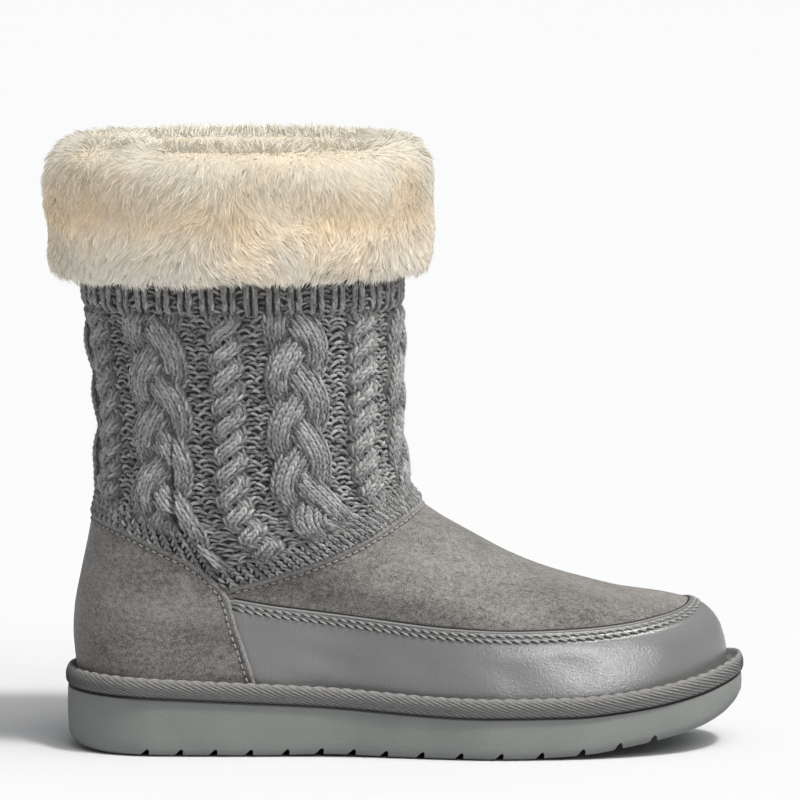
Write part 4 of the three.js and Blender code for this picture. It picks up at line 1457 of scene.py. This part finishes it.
def fur_look():
    """Cream, with uneven patches of peach in a band round its middle."""
    look = Look("plush", 0.75, (0.8, 0.72, 0.6), Specular_IOR_Level=0.2, Sheen_Weight=0.15)
    patches = look.noise(34, 2, 0.5)
    height = look.nodes.new("ShaderNodeSeparateXYZ")
    look.links.new(look.place, height.inputs["Vector"])
    # 0 at the band, 213 mm up, and 1 at 26 mm from it
    from_band = look.maths("MULTIPLY_ADD", height.outputs["Z"], 38.0, -8.1)
    from_band = look.maths("ABSOLUTE", from_band)
    tone = look.tone()
    creams = ((0.42, 0.395, 0.335), (0.53, 0.513, 0.465), (0.64, 0.63, 0.59))
    peaches = ((0.43, 0.325, 0.205), (0.61, 0.485, 0.33), (0.74, 0.645, 0.505))
    cream, peach = [look.ramp(tone, tuple(zip((0.05, 0.5, 0.95), c))) for c in (creams, peaches)]
    amount = look.maths("MULTIPLY_ADD", patches, 2.4, -0.3)
    amount = look.maths("SUBTRACT", amount, look.maths("MULTIPLY", from_band, 0.9))
    clamped = look.maths("MAXIMUM", look.maths("MINIMUM", amount, 1.0), 0.0)
    look.colour(look.blend(clamped, cream, peach))
    # stands in for the light that is scattered about inside the pile
    look.shader.inputs["Emission Color"].default_value = (1, 0.9, 0.72, 1)
    look.shader.inputs["Emission Strength"].default_value = 0.16
    return look.material


def yarn_look(name, *stops):
    """Wool whose greys go up with its tone: stops are a place on the ramp, a grey and its warmth."""
    look = Look(name, 0.9, grey(0.25), Specular_IOR_Level=0.15, Sheen_Weight=0.3)
    fibres = look.noise(0.42, 2, 0.8)
    shade = look.weighted(fibres, 0.62, look.tone(), 0.5)
    look.colour(look.ramp(shade, [(at, grey(value, warm)) for at, value, warm in stops]))
    look.bump(fibres, 0.7, 0.35)
    return look.material


YARN_LOOK = yarn_look("knit_yarn", (0.25, 0.029, 0.01), (0.5, 0.16, 0.0), (0.8, 0.43, 0.0))
# dark wool for the knit's body: painted shade where it shows in the gaps between stitches
KNIT_BODY = yarn_look("knit_body", (0.28, 0.042, 0.015), (0.6, 0.14, 0.01), (0.85, 0.21, 0.01))
FUZZ = yarn_look("knit_fuzz", (0.2, 0.06, 0.01), (0.55, 0.3, 0.005), (0.85, 0.62, 0.005))
# the pelt's colour is toned down: painted shade for the shadow that the pile, which mostly throws
# none, would cast on it
SHADED_PELT = plain_look("pelt", (0.6, 0.53, 0.43), 1.0, 2.0, 0.5)
FUR = fur_look()

make_knit_base()
make_cables()
make_purl()
add_yarn("knit_rib_and_edging", *[np.concatenate(pair) for pair in zip(rib_yarn(), edging_yarn())])
make_fibres()
make_fuzz()
make_cuff_skin()
make_fur()

# ---- Stage, light and camera ----


def make_stage():
    """A pale floor and a pale even sky."""
    bpy.ops.mesh.primitive_plane_add(size=12, location=(0, 0, -0.0002))
    floor = bpy.context.object
    floor.name = "floor"
    paint = Look("floor_paint", 0.9, grey(0.6))
    paint.colour((0.53, 0.537, 0.55))
    floor.data.materials.append(paint.material)
    scene = bpy.context.scene
    scene.view_settings.view_transform = "Standard"
    world = bpy.data.worlds.new("studio")
    scene.world = world
    world.use_nodes = True
    background = world.node_tree.nodes["Background"]
    background.inputs["Color"].default_value = (0.97, 0.985, 1, 1)
    background.inputs["Strength"].default_value = 0.36


def face(thing, direction):
    """Turns a light or camera to look in that direction."""
    thing.rotation_euler = Vector(direction).to_track_quat("-Z", "Y").to_euler()


def add_sun(name, place, strength, angle):
    """A warm sun towards that place, as wide as that angle in degrees."""
    data = bpy.data.lights.new(name, "SUN")
    data.energy = strength
    data.angle = math.radians(angle)
    data.color = (1, 0.985, 0.955)
    light = put_in_scene(name, data)
    face(light, -Vector(place))
    return light


def add_lamp(name, place, target, power, size):
    data = bpy.data.lights.new(name, "AREA")
    data.energy = power
    data.size = size
    light = put_in_scene(name, data)
    light.location = place
    face(light, Vector(target) - Vector(place))
    return light


def make_lights():
    """A sun, a broad soft sun, and a lamp that only shows as the gloss on the leather."""
    add_sun("key", (0.4, -0.34, 1.0), 2.9, 8)
    softbox = add_sun("softbox", (0.48, -0.46, 1.0), 2.6, 60)
    softbox.visible_glossy = False
    gloss = add_lamp("gloss", (0.79, -1.44, 0.26), (0.07, -0.04, 0.04), 13.5, 0.2)
    gloss.visible_diffuse = False


CAMERA = {"along": 133, "away": 2.9, "height": 0.4575, "aim": 0.1385, "lens": 328, "sensor": 36}


def make_camera():
    """Beside the outer side of the boot, a little above it and far off."""
    data = bpy.data.cameras.new("camera")
    data.sensor_width = CAMERA["sensor"]
    data.lens = CAMERA["lens"]
    data.clip_end = 50
    camera = put_in_scene("camera", data)
    middle = (BACK_OF_SOLE + CAMERA["along"]) / 1000
    camera.location = (middle, -CAMERA["away"], CAMERA["height"])
    face(camera, Vector((middle, 0, CAMERA["aim"])) - camera.location)
    bpy.context.scene.camera = camera


make_stage()
make_lights()
make_camera()
